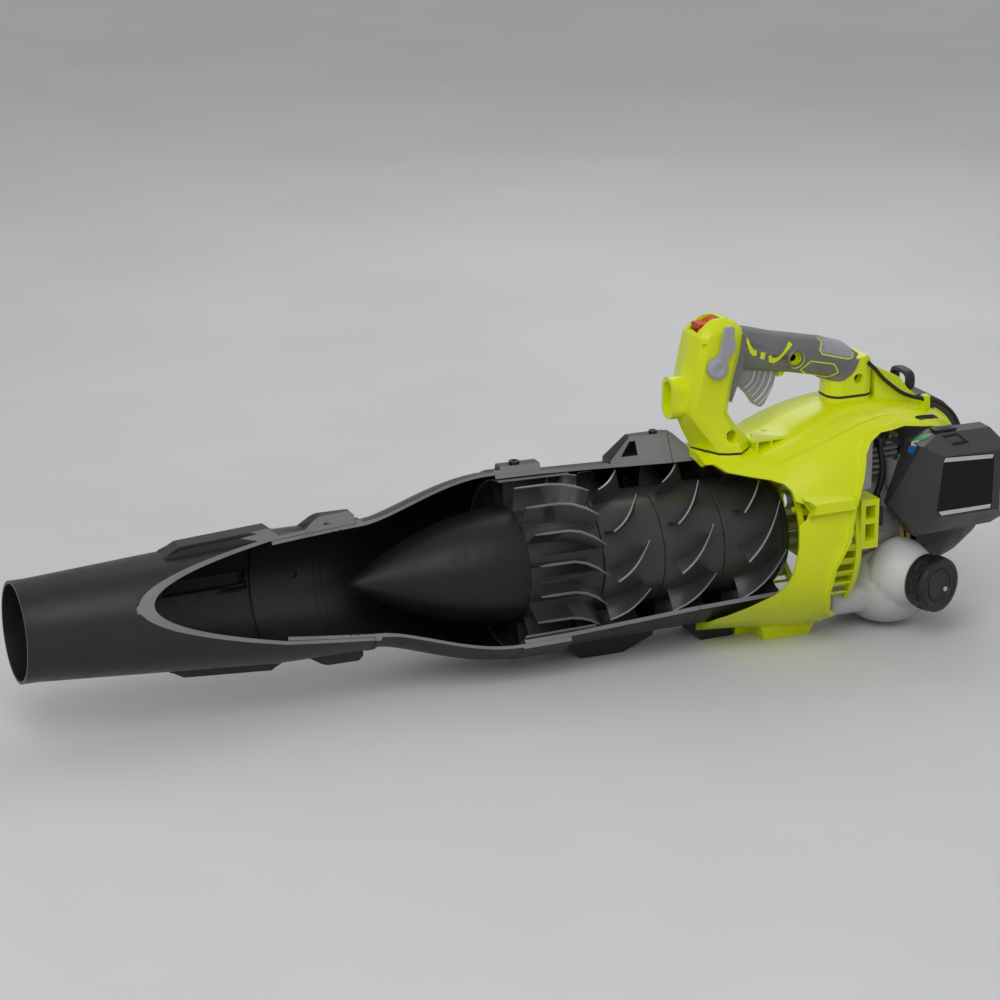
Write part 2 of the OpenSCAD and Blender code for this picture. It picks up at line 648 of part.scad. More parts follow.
// Whole housing before it is split into its two shells
module housing_body(tail) {
    difference() {
        intersection() {
            union() {
                difference() {
                    housing_skin(0);
                    housing_skin(shell_wall, 1);
                }
                intersection() {
                    housing_skin(0);
                    difference() {
                        slab_x(-74, -71) circle(r = 130);
                        rod_x(-75, -70, duct_rear_r + fit_gap);
                    }
                }
            }
            slab_y(-130, 130) side_outline(tail);
        }
        rod_x(-71, 40, duct_rear_r + 3);
        box([-84, -20.5, -130], [-31.6, 20.5, -70]);
        post_pad(pad_z, pad_z + 9, 0.6);
    }
    difference() {
        union() {
            foot();
            rear_keel();
        }
        rod_x(-90, 60, duct_rear_r + 9);
    }
    difference() {
        post_pad(pad_z - 12, pad_z, 0);
        rod_x(-90, 60, duct_rear_r + 3);
    }
    difference() {
        leg_pad(hump_h - 12, leg_pad_z, 0);
        leg_pad(hump_h - 14, leg_pad_z - 3, -3);
    }
    rear_lip(tail);
    ledge();
}

// Lip along the rear edge of the shells
module rear_lip(tail) intersection() {
    difference() {
        housing_skin(-1.8);
        housing_skin(0.6);
    }
    slab_y(-130, 130) difference() {
        side_outline(tail);
        offset(delta = -4.5) side_outline(tail);
    }
    box([-12, -140, -70], [200, 140, 128]);
}

// Small level ledge behind the post on the near shell, carried by two ribs
module ledge() difference() {
    union() {
        slab_y(-36, -14) polygon([[-27, 98.2], [-27, 100.6], [8, 100.6], [8, 98.2]]);
        for (x = [-22, -7]) slab_y(-34.5, -16) polygon([[x, 84], [x, 99], [x + 2.4, 99], [x + 2.4, 84]]);
    }
    rod_x(-30, 12, duct_rear_r + 9);
    post_pad(pad_z - 1, pad_z + 16, 0.8);
}

module housing_left() color("#c3d600") behind() difference() {
    union() {
        intersection() {
            housing_body(193);
            box([-100, -140, -140], [260, 0, 160]);
        }
        intersection() {
            fairing();
            box([-100, -140, -140], [260, 0, 200]);
        }
        flank_rib();
    }
    housing_window();
}

module housing_right() color("#c3d600") behind() {
    intersection() {
        housing_body(148);
        box([-100, 0, -140], [260, 140, 160]);
    }
    intersection() {
        fairing();
        box([-100, 0, -140], [148, 140, 200]);
    }
    mirror([0, 1, 0]) flank_rib();
}

module intake_guard() color("#b4c600") behind() {
    ring_r = duct_rear_r + 4;
    difference() {
        union() {
            tube_x(0.5, 5, ring_r + 3, ring_r - 1);
            tube_x(plate_x / 2, plate_x / 2 + 3, ring_r + 1.5, ring_r - 1.5);
            for (a = [0:9:351]) rotate([a, 0, 0]) translate([0, 0, ring_r]) rotate([24, 0, 0])
                box([2, -3.4, -1], [plate_x, 3.4, 1]);
        }
        box([-1, -40, -120], [40, 40, -70]);
        box([39, -66, -120], [plate_x + 1, 40, -46]);
    }
    difference() {
        tube_x(plate_x - 5, plate_x, ring_r + 3, ring_r - 3.2);
        box([plate_x - 6, -66, -120], [plate_x + 1, 40, -46]);
    }
    difference() {
        box([plate_x - 1, -88, -2], [plate_x + 18, -62, 46]);
        box([plate_x + 4, -89, 6], [plate_x + 14, -61, 22]);
        box([plate_x + 4, -89, 27], [plate_x + 14, -61, 40]);
        rod_x(0, 100, 68);
        rod_x(0, crank_x + fit_gap, duct_rear_r + 3 + fit_gap);
    }
    rotate([63, 0, 0]) translate([0, 0, -ring_r - 6.5]) rod_x(plate_x - 8, plate_x + 5, 6.5);
}

// ---- Handle ----

function post_side() = concat([for (r = post_rows) [r[1], r[0]]],
    [for (i = [len(post_rows) - 1:-1:0]) [post_rows[i][6], post_rows[i][0]]]);
module post_solid() skin([for (r = post_rows) [for (p = post_plan(r)) [p[0], p[1], r[0]]]]);

grip_path = [[-38, grip_z, 20], [-20, grip_z - 4, 20], [4, grip_z - 9, 18.5],
    [30, grip_z - 13.5, 18], [56, grip_z - 19, 18], [74, grip_z - 25, 18.5],
    [85, grip_z - 34, 20], [91, grip_z - 46, 22]];

function grip_ring(i, skin_t, m) = let(p = grip_path[i],
    q = grip_path[min(i + 1, len(grip_path) - 1)], o = grip_path[max(i - 1, 0)],
    d = [q[0] - o[0], q[1] - o[1]] / norm([q[0] - o[0], q[1] - o[1]]),
    w = grip_w / 2 - skin_t, h = p[2] * grip_h / 36 - skin_t)
    [for (j = [0:m - 1]) let(a = 360 * j / m, n = h * power(sin(a), 2.3))
        [p[0] - d[1] * n, w * power(cos(a), 2.3), p[1] + d[0] * n]];
module grip_solid(skin_t) skin([for (i = [0:len(grip_path) - 1]) grip_ring(i, skin_t, 28)]);

module leg_solid() intersection() {
    slab_y(-17, 17) polygon([[66, leg_z], [113, leg_z], [112, post_top - 60],
        [104, post_top - 50], [92, post_top - 52], [62, post_top - 72]]);
    leg_pad(leg_z - 1, post_top, 0);
}

// Pocket that the trigger swings in
module trigger_pocket() slab_y(-trigger_w / 2 - 0.7, trigger_w / 2 + 0.7)
    polygon([[-40, post_top - 64], [-38, post_top - 44], [-29, post_top - 38], [-2, post_top - 38],
        [12, post_top - 40], [15.5, post_top - 48], [15.5, post_top - 100], [-20, post_top - 100],
        [-36, post_top - 70]]);

module handle_body() difference() {
    union() {
        post_solid();
        grip_solid(grip_skin);
        leg_solid();
        slab_y(-4, 4) polygon([[14, post_top - 50], [26, post_top - 52], [20, post_top - 64],
            [15, post_top - 65]]);
        loop_ring();
    }
    trigger_pocket();
    switch_pocket();
    for (s = [-1, 1]) {
        translate([27, 0, grip_z - 16]) rod_y(s > 0 ? 9 : -30, s > 0 ? 30 : -9, 6);
        translate([94.5, 0, post_top - 72]) rod_y(s > 0 ? 8 : -30, s > 0 ? 30 : -8, 5);
        translate([-71, 0, post_top - 22]) rod_y(s > 0 ? 18 : -30, s > 0 ? 30 : -18, 2.6);
        translate(post_screw_at) rod_y(s > 0 ? 16 : -50, s > 0 ? 50 : -16, 6);
    }
    translate([trigger_at[0], 0, trigger_at[2]]) rod_y(-12, 12, trigger_pin_d / 2);
    translate([lever_at[0], 0, lever_at[2]])
        rod_y(-post_w / 2 - 1, -post_w / 2 + 12, lever_pin_d / 2 + 0.05);
}

module loop_ring() slab_x(-98, -84) difference() {
    rounded([-12, post_top - 94], [12, post_top - 54], 11);
    rounded([-8, post_top - 90], [8, post_top - 58], 7.5);
}

module switch_pocket() translate(switch_at) rotate([0, -12, 0]) difference() {
    box([-switch_len / 2 - 1, -9, -9], [switch_len / 2 + 1, 9, 20]);
    rod_y(-10, 10, 1.45);
}

module handle_left() color("#c3d600") behind() intersection() {
    handle_body();
    box([-120, -60, 60], [140, 0, 260]);
}
module handle_right() color("#c3d600") behind() intersection() {
    handle_body();
    box([-120, 0, 60], [140, 60, 260]);
}

// Rubber over the grip, with a skirt down the inner face of the post
module grip_rubber() color("#77787a") behind() difference() {
    union() {
        difference() {
            grip_solid(0);
            grip_solid(grip_skin);
        }
        difference() {
            slab_y(-grip_w / 2, grip_w / 2) polygon([[-34, post_top - 14], [-26, post_top - 17],
                [-29, post_top - 50], [-40, post_top - 80], [-44, post_top - 78], [-38, post_top - 54],
                [-32, post_top - 32]]);
            grip_solid(grip_skin);
        }
    }
    slab_y(-30, 30) polygon(post_side());
    slab_y(-30, 30) polygon([[52, post_top - 100], [62, post_top - 72], [92, post_top - 52],
        [104, post_top - 50], [140, post_top - 40], [140, post_top - 120]]);
    trigger_pocket();
    translate(trigger_at) rod_y(-12, 12, trigger_pin_d / 2);
    for (s = [-1, 1]) translate([27, 0, grip_z - 16]) rod_y(s > 0 ? 5 : -30, s > 0 ? 30 : -5, 6.5);
    slab_y(-5, 5)
        polygon([[12, post_top - 40], [28, post_top - 44], [28, post_top - 70], [12, post_top - 70]]);
}

module front_seal() color("#3a2f2a") behind() post_pad(pad_z, post_z, -0.5);
module rear_seal() color("#3a2f2a") behind() leg_pad(leg_pad_z, leg_z, 0.5);

module handle_screws() color("#2a2b2d") behind() for (s = [-1, 1]) {
    translate([27, 0, grip_z - 16]) rod_y(s > 0 ? 6 : -9, s > 0 ? 9 : -6, 3.6);
    translate([94.5, 0, post_top - 72]) rod_y(s > 0 ? 4 : -8, s > 0 ? 8 : -4, 3.6);
    translate(post_screw_at) rod_y(s > 0 ? 12 : -16, s > 0 ? 16 : -12, 3.6);
}

// ---- Controls ----

module trigger() color("#8f9194") behind() difference() {
    slab_y(-trigger_w / 2, trigger_w / 2) polygon([[-34, post_top - 45], [-25, post_top - 43],
        [-4, post_top - 47], [11, post_top - 52], [12, post_top - 60], [8, post_top - 75],
        [0, post_top - 89], [-4, post_top - 91.5], [-8, post_top - 90], [-15, post_top - 80],
        [-27, post_top - 68], [-34, post_top - 62]]);
    translate(trigger_at) rod_y(-20, 20, trigger_pin_d / 2 + 0.05);
    for (i = [0:4], s = [-1, 1]) translate([-27, s * trigger_w / 2, post_top - 56])
        rotate([90, 0, 0]) difference() {
            cylinder(h = 1.6, r = 14 + i * 5, center = true);
            cylinder(h = 2, r = 11.6 + i * 5, center = true);
            translate([-60, -2, -2]) cube([120, 70, 4]);
        }
}

module trigger_pin() color("#b9bcc0") behind() translate(trigger_at) rod_y(-12, 12, trigger_pin_d / 2);

module cruise_lever() color("#c4c5c8") behind() {
    y1 = -post_w / 2 - 0.4;
    translate(lever_at) {
        rod_y(y1 - 8, y1, lever_d / 2);
        rod_y(y1 - 0.1, y1 + 11, lever_pin_d / 2);
        slab_y(y1 - 6, y1 - 0.2) polygon([[-5, 4], [5.5, 3], [9, 18], [12.5, lever_len - 3],
            [9, lever_len], [3, lever_len - 1], [1, 18]]);
    }
}

module stop_switch() color("#c8201e") behind() translate(switch_at) rotate([0, -12, 0]) difference() {
    slab_y(-8, 8) polygon([[-switch_len / 2, -3], [0, -6], [switch_len / 2, -3], [switch_len / 2, 4],
        [0, 2.8], [-switch_len / 2, 5.5]]);
    rod_y(-9, 9, 1.5);
}

// Cable on its way from the handle, over the tail, down to the carburettor
cable_path = [[104, -17, 157], [112, -18.5, 149], [120, -19, 140], [132, -19, 130], [142, -19, 123],
    [154, -20, 118], [166, -21, 115], [176, -23, 112], [186, -26, 106], [193, -30, 98],
    [196, -35, 88], [194, -40, cable_z + 8], [186, -44, cable_z + 2], [176, -46, cable_z],
    [164, -46, cable_z], [152, -46, cable_z]];
function tube_ring(path, i, r, m) = let(p = path[i],
    d0 = path[min(i + 1, len(path) - 1)] - path[max(i - 1, 0)], d = d0 / norm(d0),
    u0 = cross(d, [0, 1, 0.31]), u = u0 / norm(u0), v = cross(d, u))
    [for (j = [0:m - 1]) p + r * (cos(360 * j / m) * u + sin(360 * j / m) * v)];
module hose(path, r, m = 8) skin([for (i = [0:len(path) - 1]) tube_ring(path, i, r, m)]);

module throttle_cable() color("#1c1c1e") behind() hose(cable_path, cable_d / 2);

module cable_clip() color("#c3d600") behind() translate(cable_path[6]) difference() {
    box([-3, -cable_d / 2 - 2, -cable_d / 2 - 8], [3, cable_d / 2 + 2, cable_d / 2 + 2]);
    rod_x(-5, 5, cable_d / 2 + 0.4);
}

// ---- Engine ----

module engine_plate() color("#b4c600") behind() {
    difference() {
        rod_x(plate_x, crank_x, duct_rear_r + 3);
        rod_x(plate_x - 1, crank_x + 1, 24);
        for (a = [30:60:330]) rotate([a, 0, 0]) translate([0, 0, 66]) rod_x(plate_x - 1, crank_x + 1, 7);
        box([plate_x - 1, -100, -100], [crank_x + 1, 100, -48]);
    }
    for (a = [-120:60:120]) rotate([a, 0, 0]) translate([0, 0, duct_rear_r - 2])
        rod_x(0, plate_x + 1, 2.6);
}

module crankcase() color("#a7a8aa") behind() difference() {
    revolve_x([[0, crank_x], [58, crank_x], [58, crank_x + 6], [crank_r, crank_x + 11],
        [crank_r, crank_x + crank_len - 3], [crank_r - 4, crank_x + crank_len],
        [0, crank_x + crank_len]]);
    rod_x(crank_x - 1, crank_x + crank_len - 4, shaft_r + 0.05);
    rod_x(crank_x + 26, crank_x + crank_len - 14, crank_r - 8);
}

module cylinder_block() {
    rod_z(crank_r - 4, head_z - 6, barrel_d / 2);
    pitch = 40 / fin_count;
    for (i = [0:fin_count - 1]) slab_z(50 + i * pitch, 52.2 + i * pitch)
        rounded([-31, -31], [31, 31], 6);
    slab_z(head_z - 14, head_z) rounded([-26, -26], [26, 26], 8);
}

module engine_cylinder() color("#9b9da0") behind() difference() {
    translate([cyl_x, 0, 0]) cylinder_block();
    rod_x(crank_x, crank_x + crank_len, crank_r);
    rod_x(crank_x - 1, crank_x + 11, 58 + fit_gap);
    translate([cyl_x, 0, 0]) rod_z(0, head_z - 12, 17);
    translate([cyl_x, 0, head_z - 8]) rod_y(-30, -15, 4);
}

module spark_plug() color("#d8d6cf") behind() translate([cyl_x, 0, head_z - 8]) {
    rod_y(-26, -16, 4);
    rod_y(-30, -26, 6);
    rod_y(-40, -30, 3);
}

module plug_boot() color("#1c1c1e") behind() translate([cyl_x, 0, head_z - 8]) difference() {
    union() {
        rod_y(-51.4, -32, 7.5);
        translate([0, -47, 0]) rod_z(-13, 0, 5.5);
    }
    rod_y(-40, -31, 3);
}

plug_path = [[103, -47, 83], [103, -48, 78], [104, -50, 71], [104.5, -51, 62], [104, -51, 52],
    [102, -50, 42], [99, -49, 33]];
module plug_lead() color("#232325") behind() hose(plug_path, 3.2, 10);

module ignition_coil() color("#2c2c2e") behind() difference() {
    union() {
        box([86, -60, 8], [102, -38, 26]);
        box([82, -56, 12], [86, -40, 22]);
        translate([99, -49, 0]) rod_z(24, 34, 5);
    }
    rod_x(60, 110, crank_r);
    translate([99, -49, 0]) rod_z(32.9, 36, 3.3);
}

module muffler() color("#6e6b66") behind() difference() {
    union() {
        pillow([78, 38, 24], [139, 80, 84], 9);
        box([94, 31, 54], [112, 39, 76]);
    }
    pillow([80, 40, 26], [137, 78, 82], 7);
    translate([109, 70, 32]) rod_y(0, 20, 7);
}

// Bent sheet that guides the cooling air past the cylinder
module air_shroud() color("#9b9da0") behind() difference() {
    union() {
        slab_z(44, 94) polygon([[crank_x, -33], [crank_x, -50], [80, -57], [92, -53], [94, -42],
            [92, -42], [90, -51], [80, -54.4], [crank_x + 3, -48.5], [crank_x + 3, -33]]);
        slab_z(92, 94) polygon([[crank_x, -33], [crank_x, -50], [80, -57], [92, -53], [94, -42],
            [94, -33]]);
    }
    rod_x(60, crank_x + 11, 58);
}

module heat_shield() color("#8e9094") behind() slab_y(-50, -48.2)
    polygon([[102.5, 20], [121, 19], [121, -3], [103.5, -3]]);

module carburettor() color("#7f8184") behind() difference() {
    union() {
        box([118, -53, 38], [148, -36, 66]);
        box([120, -36, 44], [146, -31, 62]);
        box([124, -55, 42], [142, -53, 62]);
        translate(bulb_at) rotate([0, 90, 0]) cylinder(h = 7, r = 12.3);
        box([124, -50, 32], [138, -40, 38]);
        box([146, -50, 62], [153, -42, cable_z + 5]);
    }
    translate([0, -46, cable_z]) rod_x(147, 154, cable_d / 2 + 0.1);
    rod_x(139, 160, starter_d / 2 + 0.4);
    translate([133, 0, 52]) rod_y(-56, -34, 7);
    translate(bulb_at + [1.5, 0, 0]) rotate([0, 90, 0]) cylinder(h = 6, r = 10.9);
    translate([arm_at[0], arm_at[1], 0]) rod_z(58, 67, 2.55);
}

module throttle_arm() color("#b9bcc0") behind() translate([arm_at[0], arm_at[1], 0]) {
    rod_z(58.4, 72, 2.5);
    rod_z(66.4, 69.4, 6);
    slab_z(66.4, 68.9) polygon([[-3, -3], [14, -3], [17, 0], [14, 3], [-3, 3]]);
    translate([14, 0, 0]) rod_z(68.9, 74, 1.6);
}

module primer_bulb() color("#8c3a34") behind() translate(bulb_at + [2, 0, 0]) rotate([0, 90, 0])
    rotate_extrude() polygon([[0, 5.5], [10.8, 5.5], [10.8, 8.5], [9.6, 13], [6.8, 16.5], [3, 18.3],
        [0, 18.5]]);

// ---- Air filter ----

module cover_side() polygon([[filter_x + 2, 30], [filter_x + 27, filter_z],
    [filter_x + filter_len - 6, 4],
    [filter_x + filter_len, 14], [filter_x + filter_len, 80], [filter_x + filter_len - 9, filter_h - 2],
    [filter_x + 47, filter_h - 2], [filter_x + 22, 91]]);
module cover_plan() polygon([[filter_x, filter_back_y], [filter_x, filter_back_y - 5],
    [filter_x + 37, filter_back_y - filter_depth],
    [filter_x + filter_len - 12, filter_back_y - filter_depth],
    [filter_x + filter_len, filter_back_y - 32], [filter_x + filter_len, filter_back_y]]);
module cover_end() polygon([[filter_back_y, filter_z - 2], [filter_back_y - 14, filter_z - 2],
    [filter_back_y - filter_depth, 25], [filter_back_y - filter_depth, 84],
    [filter_back_y - 18, filter_h - 2],
    [filter_back_y, filter_h - 2]]);
module cover_block() intersection() {
    slab_y(filter_back_y - 60, filter_back_y) cover_side();
    slab_z(-10, 110) cover_plan();
    slab_x(filter_x - 1, filter_x + filter_len + 1) cover_end();
}

// Hinge along the bottom edge of the cover
hinge_y = filter_back_y - 4;
hinge_z = filter_z + 3;
module on_hinge() translate([filter_x, hinge_y, hinge_z]) children();

module filter_cover() color("#4a4b4e") behind() difference() {
    union() {
        difference() {
            cover_block();
            translate([filter_x + 56, filter_back_y + 0.01, 48]) scale([0.955, 1, 0.945])
                translate([-filter_x - 56, -filter_back_y + filter_wall, -48]) cover_block();
        }
        box([latch_at[0] - 11, filter_back_y - 17, filter_h - 6],
            [latch_at[0] + 11, filter_back_y - 4, filter_h - 2.4]);
        on_hinge() rod_x(34, 44, 4);
        on_hinge() rod_x(84, 94, 4);
    }
    on_hinge() {
        rod_x(30, 98, 2.05);
        for (x = [46, 74]) box([x - 0.4, -5, -8], [x + 8.4, 6, 10]);
    }
    box([latch_at[0] - 7, filter_back_y - 16, filter_h - 12],
        [latch_at[0] + 7, filter_back_y - 7, filter_h + 2]);
}

module filter_base() color("#303134") behind() difference() {
    union() {
        slab_y(filter_back_y + 0.4, filter_back_y + 3) polygon([[filter_x + 4, 31],
            [filter_x + 28, 3], [filter_x + filter_len - 7, 6], [filter_x + filter_len - 2, 15],
            [filter_x + filter_len - 2, 79], [filter_x + filter_len - 10, 96],
            [filter_x + 48, 96], [filter_x + 24, 89]]);
        slab_y(filter_back_y + 2, filter_back_y + 5.9)
            polygon([[139, 12], [180, 12], [179, -3], [174, -14], [158, -19], [142, -18]]);
        on_hinge() for (x = [46, 74]) {
            rod_x(x, x + 8, 3);
            box([x, 0, 0], [x + 8, 7, 8]);
        }
        on_hinge() rod_x(34, 94, 2);
    }
    translate([133, 0, 52]) rod_y(filter_back_y - 1, -54, 7);
    translate([choke_at[0], 0, choke_at[1]]) rod_y(filter_back_y - 1, -54, 3);
}

module filter_element() color("#d9d6c8") behind()
    slab_y(filter_back_y - 26, filter_back_y + 0.4) difference() {
        union() {
            box2([filter_x + 26, 20], [filter_x + 102, 82]);
            for (i = [0:9]) box2([filter_x + 28 + i * 7.3, 17.5], [filter_x + 31.5 + i * 7.3, 84.5]);
        }
        box2([filter_x + 33, 27], [filter_x + 95, 75]);
    }
module box2(p, q) translate(p) square(q - p);

module cover_latch() color("#2b2c2e") behind()
    translate([latch_at[0], filter_back_y - 10.5, filter_h - 1.6]) {
    box([-6, -2.6, -2], [6, 2.6, 3]);
    box([-12, -5.5, 0.2], [12, 5.5, 2.4]);
}

module choke_lever() color("#3c8fd0") behind() translate([choke_at[0], 0, choke_at[1]]) {
    rod_y(filter_back_y + 3.4, filter_back_y + 6, 6);
    rod_y(filter_back_y + 0.4, filter_back_y + 3.4, 2.95);
    slab_y(filter_back_y + 3.4, filter_back_y + 5.4)
        polygon([[-4, 3], [-18, 11], [-14, 16], [0, 6]]);
}

// ---- Starter ----

module starter_shape(t) {
    r = starter_d / 2 - t;
    revolve_x([[0, 140.5], [r, 140.5], [r, 176 - t], [r - 8, 200 - t], [r - 22, 224 - t],
        [r - 42, 239 - t], [0, 239 - t]]);
}

module starter_housing() color("#3d3e41") behind() {
    difference() {
        intersection() {
            starter_shape(0);
            box([130, filter_back_y + 6, -80], [250, 80, 80]);
        }
        intersection() {
            starter_shape(2.6);
            box([143, filter_back_y + 8.6, -80], [250, 80, 80]);
        }
        for (i = [0:7]) rotate([i * 45 + 20, 0, 0]) box([228, -2, 12], [245, 2, 26]);
        translate([rope_x, rope_y, 0]) rod_z(40, 70, rope_d / 2 + 1.2);
        revolve_x([[0, 139], [24, 139], [24, 144], [0, 144]]);
    }
    rod_x(190, 237, 8);
    rod_x(158, 191, 7.95);
    difference() {
        rod_x(139, 142, 48);
        rod_x(138, 143, 24);
    }
}

module starter_pulley() color("#5b5d60") behind() difference() {
    union() {
        tube_x(rope_x - 6, rope_x + 6, rope_y + 2.4, 8);
        tube_x(rope_x - 9, rope_x - 5, 15, 8);
    }
    revolve_x([[rope_y + 3, rope_x - 3.4], [rope_y + 3, rope_x + 3.4], [rope_y - rope_d, rope_x + 2.2],
        [rope_y - rope_d, rope_x - 2.2]]);
}

module starter_rope() color("#d7d7d4") behind() translate([rope_x, rope_y, 0]) rod_z(4, 110, rope_d / 2);

module starter_grip() color("#1f2022") behind() translate([rope_x, rope_y, 0]) difference() {
    slab_x(-6, 6) difference() {
        union() {
            rounded([-17, 117], [17, 133], 7);
            polygon([[-6, 111.5], [6, 111.5], [12, 119], [-12, 119]]);
        }
        rounded([-11, 122], [11, 128], 2.9);
    }
    rod_z(110, 121, rope_d / 2 + 0.3);
}

module engine_cover() color("#4a4b4e") behind() {
    outline = [[150, 44], [150, 104], [181, 109], [195, 105], [207, 99], [219, 88], [224, 80],
        [228, 66], [228, 50], [220, 44]];
    inner = [[148, 40], [148, 101.5], [181, 106.5], [194, 102.5], [205, 97], [216.5, 86.5],
        [221.5, 79], [225.4, 65.5], [225.4, 40]];
    difference() {
        slab_y(14, 62) polygon(outline);
        slab_y(16.6, 59.4) polygon(inner);
        rod_x(130, 260, starter_d / 2 + 0.2);
        translate([rope_x, rope_y, 0]) rod_z(80, 120, rope_d / 2 + 1.2);
        for (i = [0:4]) box([157 + i * 8, 60, 72], [161 + i * 8, 70, 94]);
    }
}

// ---- Fuel tank ----

// Rounded bulb, closed at both ends, with its lowest point on the resting plane
module tank_bulb(t) {
    mid = [68 + tank_len / 2, -25, tank_h / 2 - ground_h];
    half = [tank_len / 2 - 9 - t, 55 - t, tank_h / 2 - t];
    skin([for (u = [-0.998, -0.97, -0.9, -0.78, -0.6, -0.35, 0, 0.35, 0.6, 0.78, 0.9, 0.97, 0.998])
        let(s = pow(1 - pow(abs(u), 2.6), 1 / 2.6))
        [for (j = [0:35]) [mid[0] + half[0] * s * power(cos(j * 10), 2.3), mid[1] - half[1] * u,
            mid[2] + half[2] * s * power(sin(j * 10), 2.3)]]]);
}

module tank_shape(t) difference() {
    union() {
        tank_bulb(t);
        pillow([48 + t, -62 + t, -80 + t], [100, -22 - t, -50 - t], 14 - t);
        translate(cap_at) rotate([90, 0, cap_turn]) rotate_extrude() polygon([[0, t - 46],
            [29 - t, t - 45], [34.5 - t, -35], [33.5 - t, -24], [29 - t, -12], [25.5 - t, -5],
            [24.5 - t, -1.5], [0, -1.5]]);
    }
    rod_x(30, 141 + t, crank_r + 3 + t);
    rod_x(138 - t, 260, starter_d / 2 + 2.2 + t);
    rod_x(30, crank_x + 11 + t, 60 + t);
}

module fuel_tank() color("#d9dcdc") behind() difference() {
    union() {
        tank_shape(0);
        translate(cap_at) rotate([90, 0, cap_turn]) rod_z(-4, cap_h - 9, neck_d / 2);
    }
    difference() {
        tank_shape(2.4);
        translate(cap_at) rotate([90, 0, cap_turn]) rod_z(-4, 10, neck_d / 2 + 8);
    }
    translate(cap_at) rotate([90, 0, cap_turn]) rod_z(-14, cap_h, neck_d / 2 - 3);
}

module cap_seal() color("#55585c") behind() translate(cap_at) rotate([90, 0, cap_turn]) difference() {
    rod_z(cap_h - 8.6, cap_h - 6, neck_d / 2 + 0.5);
    rod_z(cap_h - 9, cap_h - 5, neck_d / 2 - 4);
}

module fuel_cap() color("#1e1f21") behind() translate(cap_at) rotate([90, 0, cap_turn]) difference() {
    union() {
        rod_z(0, cap_h - 2, cap_d / 2 - 1);
        rod_z(cap_h - 3, cap_h, cap_d / 2 - 4);
        for (i = [0:19]) rotate([0, 0, i * 18]) translate([cap_d / 2 - 1.6, 0, 0])
            rod_z(1, cap_h - 4, 1.8);
    }
    rod_z(-1, cap_h - 5.7, neck_d / 2 + 0.8);
    difference() {
        rod_z(cap_h - 1, cap_h + 1, 15);
        rod_z(cap_h - 2, cap_h + 2, 11.5);
        for (i = [0:2]) rotate([0, 0, 30 + i * 120]) box([0, -2, cap_h - 2], [20, 2, cap_h + 2]);
    }
}

fuel_a = [[127, -54, -14], [127, -53.5, -8], [127, -51.8, -1], [127.5, -50, 8], [128, -48, 18],
    [128, -46, 26], [128, -45, 32.6]];
fuel_b = [[133.5, -54, -14], [133.7, -53.5, -8], [134, -51.8, -1], [134.2, -50, 8], [134.2, -48, 18],
    [134, -46, 26], [134, -45, 32.6]];
module fuel_lines() color("#d8a63a") behind() {
    hose(fuel_a, 2.5);
    hose(fuel_b, 2.5);
}

nozzle();
diffuser();
fan_duct();
intake_ring();
duct_screws();
tail_cone();
stator();
stator_bearing();
fan_stage_1();
fan_stage_2();
fan_stage_3();
fan_spinner();
drive_shaft();
fan_nut();
intake_guard();
housing_left();
housing_right();
handle_left();
handle_right();
grip_rubber();
front_seal();
rear_seal();
handle_screws();
trigger();
trigger_pin();
cruise_lever();
stop_switch();
throttle_cable();
cable_clip();
engine_plate();
crankcase();
engine_cylinder();
spark_plug();
plug_boot();
plug_lead();
ignition_coil();
muffler();
carburettor();
throttle_arm();
primer_bulb();
filter_base();
filter_element();
filter_cover();
cover_latch();
choke_lever();
starter_housing();
starter_pulley();
starter_rope();
starter_grip();
fuel_tank();
cap_seal();
fuel_cap();
fuel_lines();
engine_cover();
heat_shield();
air_shroud();
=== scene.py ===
"""Dresses the handheld axial-fan blower: moulded tubes, fan, lime housing, soft grip and engine."""
from __future__ import annotations

import json
import logging
import math
from dataclasses import dataclass, field
from enum import Enum
from typing import Iterable, Optional, Sequence

import bmesh
import bpy
from mathutils import Matrix, Vector
from mathutils.bvhtree import BVHTree

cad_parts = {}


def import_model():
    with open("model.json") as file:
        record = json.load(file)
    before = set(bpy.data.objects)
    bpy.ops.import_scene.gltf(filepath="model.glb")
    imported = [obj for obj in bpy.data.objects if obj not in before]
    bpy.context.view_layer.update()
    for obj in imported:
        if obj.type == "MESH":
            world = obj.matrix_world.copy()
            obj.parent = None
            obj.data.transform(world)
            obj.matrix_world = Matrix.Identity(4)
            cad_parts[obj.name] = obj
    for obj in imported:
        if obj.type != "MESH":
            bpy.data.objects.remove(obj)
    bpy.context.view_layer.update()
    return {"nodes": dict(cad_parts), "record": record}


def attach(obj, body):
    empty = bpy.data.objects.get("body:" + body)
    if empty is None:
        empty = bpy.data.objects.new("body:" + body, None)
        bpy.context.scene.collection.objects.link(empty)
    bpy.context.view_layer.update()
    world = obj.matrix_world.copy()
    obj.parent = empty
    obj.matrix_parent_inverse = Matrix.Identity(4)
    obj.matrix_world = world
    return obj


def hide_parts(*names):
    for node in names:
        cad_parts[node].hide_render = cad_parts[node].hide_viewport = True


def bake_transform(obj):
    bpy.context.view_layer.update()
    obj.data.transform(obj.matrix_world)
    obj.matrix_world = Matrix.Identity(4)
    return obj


LOG = logging.getLogger("blower")
MM = 0.001
BACK = 722.5
TILT = math.radians(27)
WINDOW = Vector((0.0, -math.cos(TILT), math.sin(TILT)))
NEAR, FAR = -1, 1
FAR_OUT = 300.0
Point = tuple[float, float, float]
Spot = tuple[float, float]
Socket = bpy.types.NodeSocket


def metres(p: Sequence[float], shift: float = BACK) -> Point:
    """A point's place in metres.

    Args:
        p: The point in millimetres.
        shift: Where its X = 0 lies along the fan axis.

    Returns:
        The place.
    """
    return ((p[0] + shift) * MM, p[1] * MM, p[2] * MM)


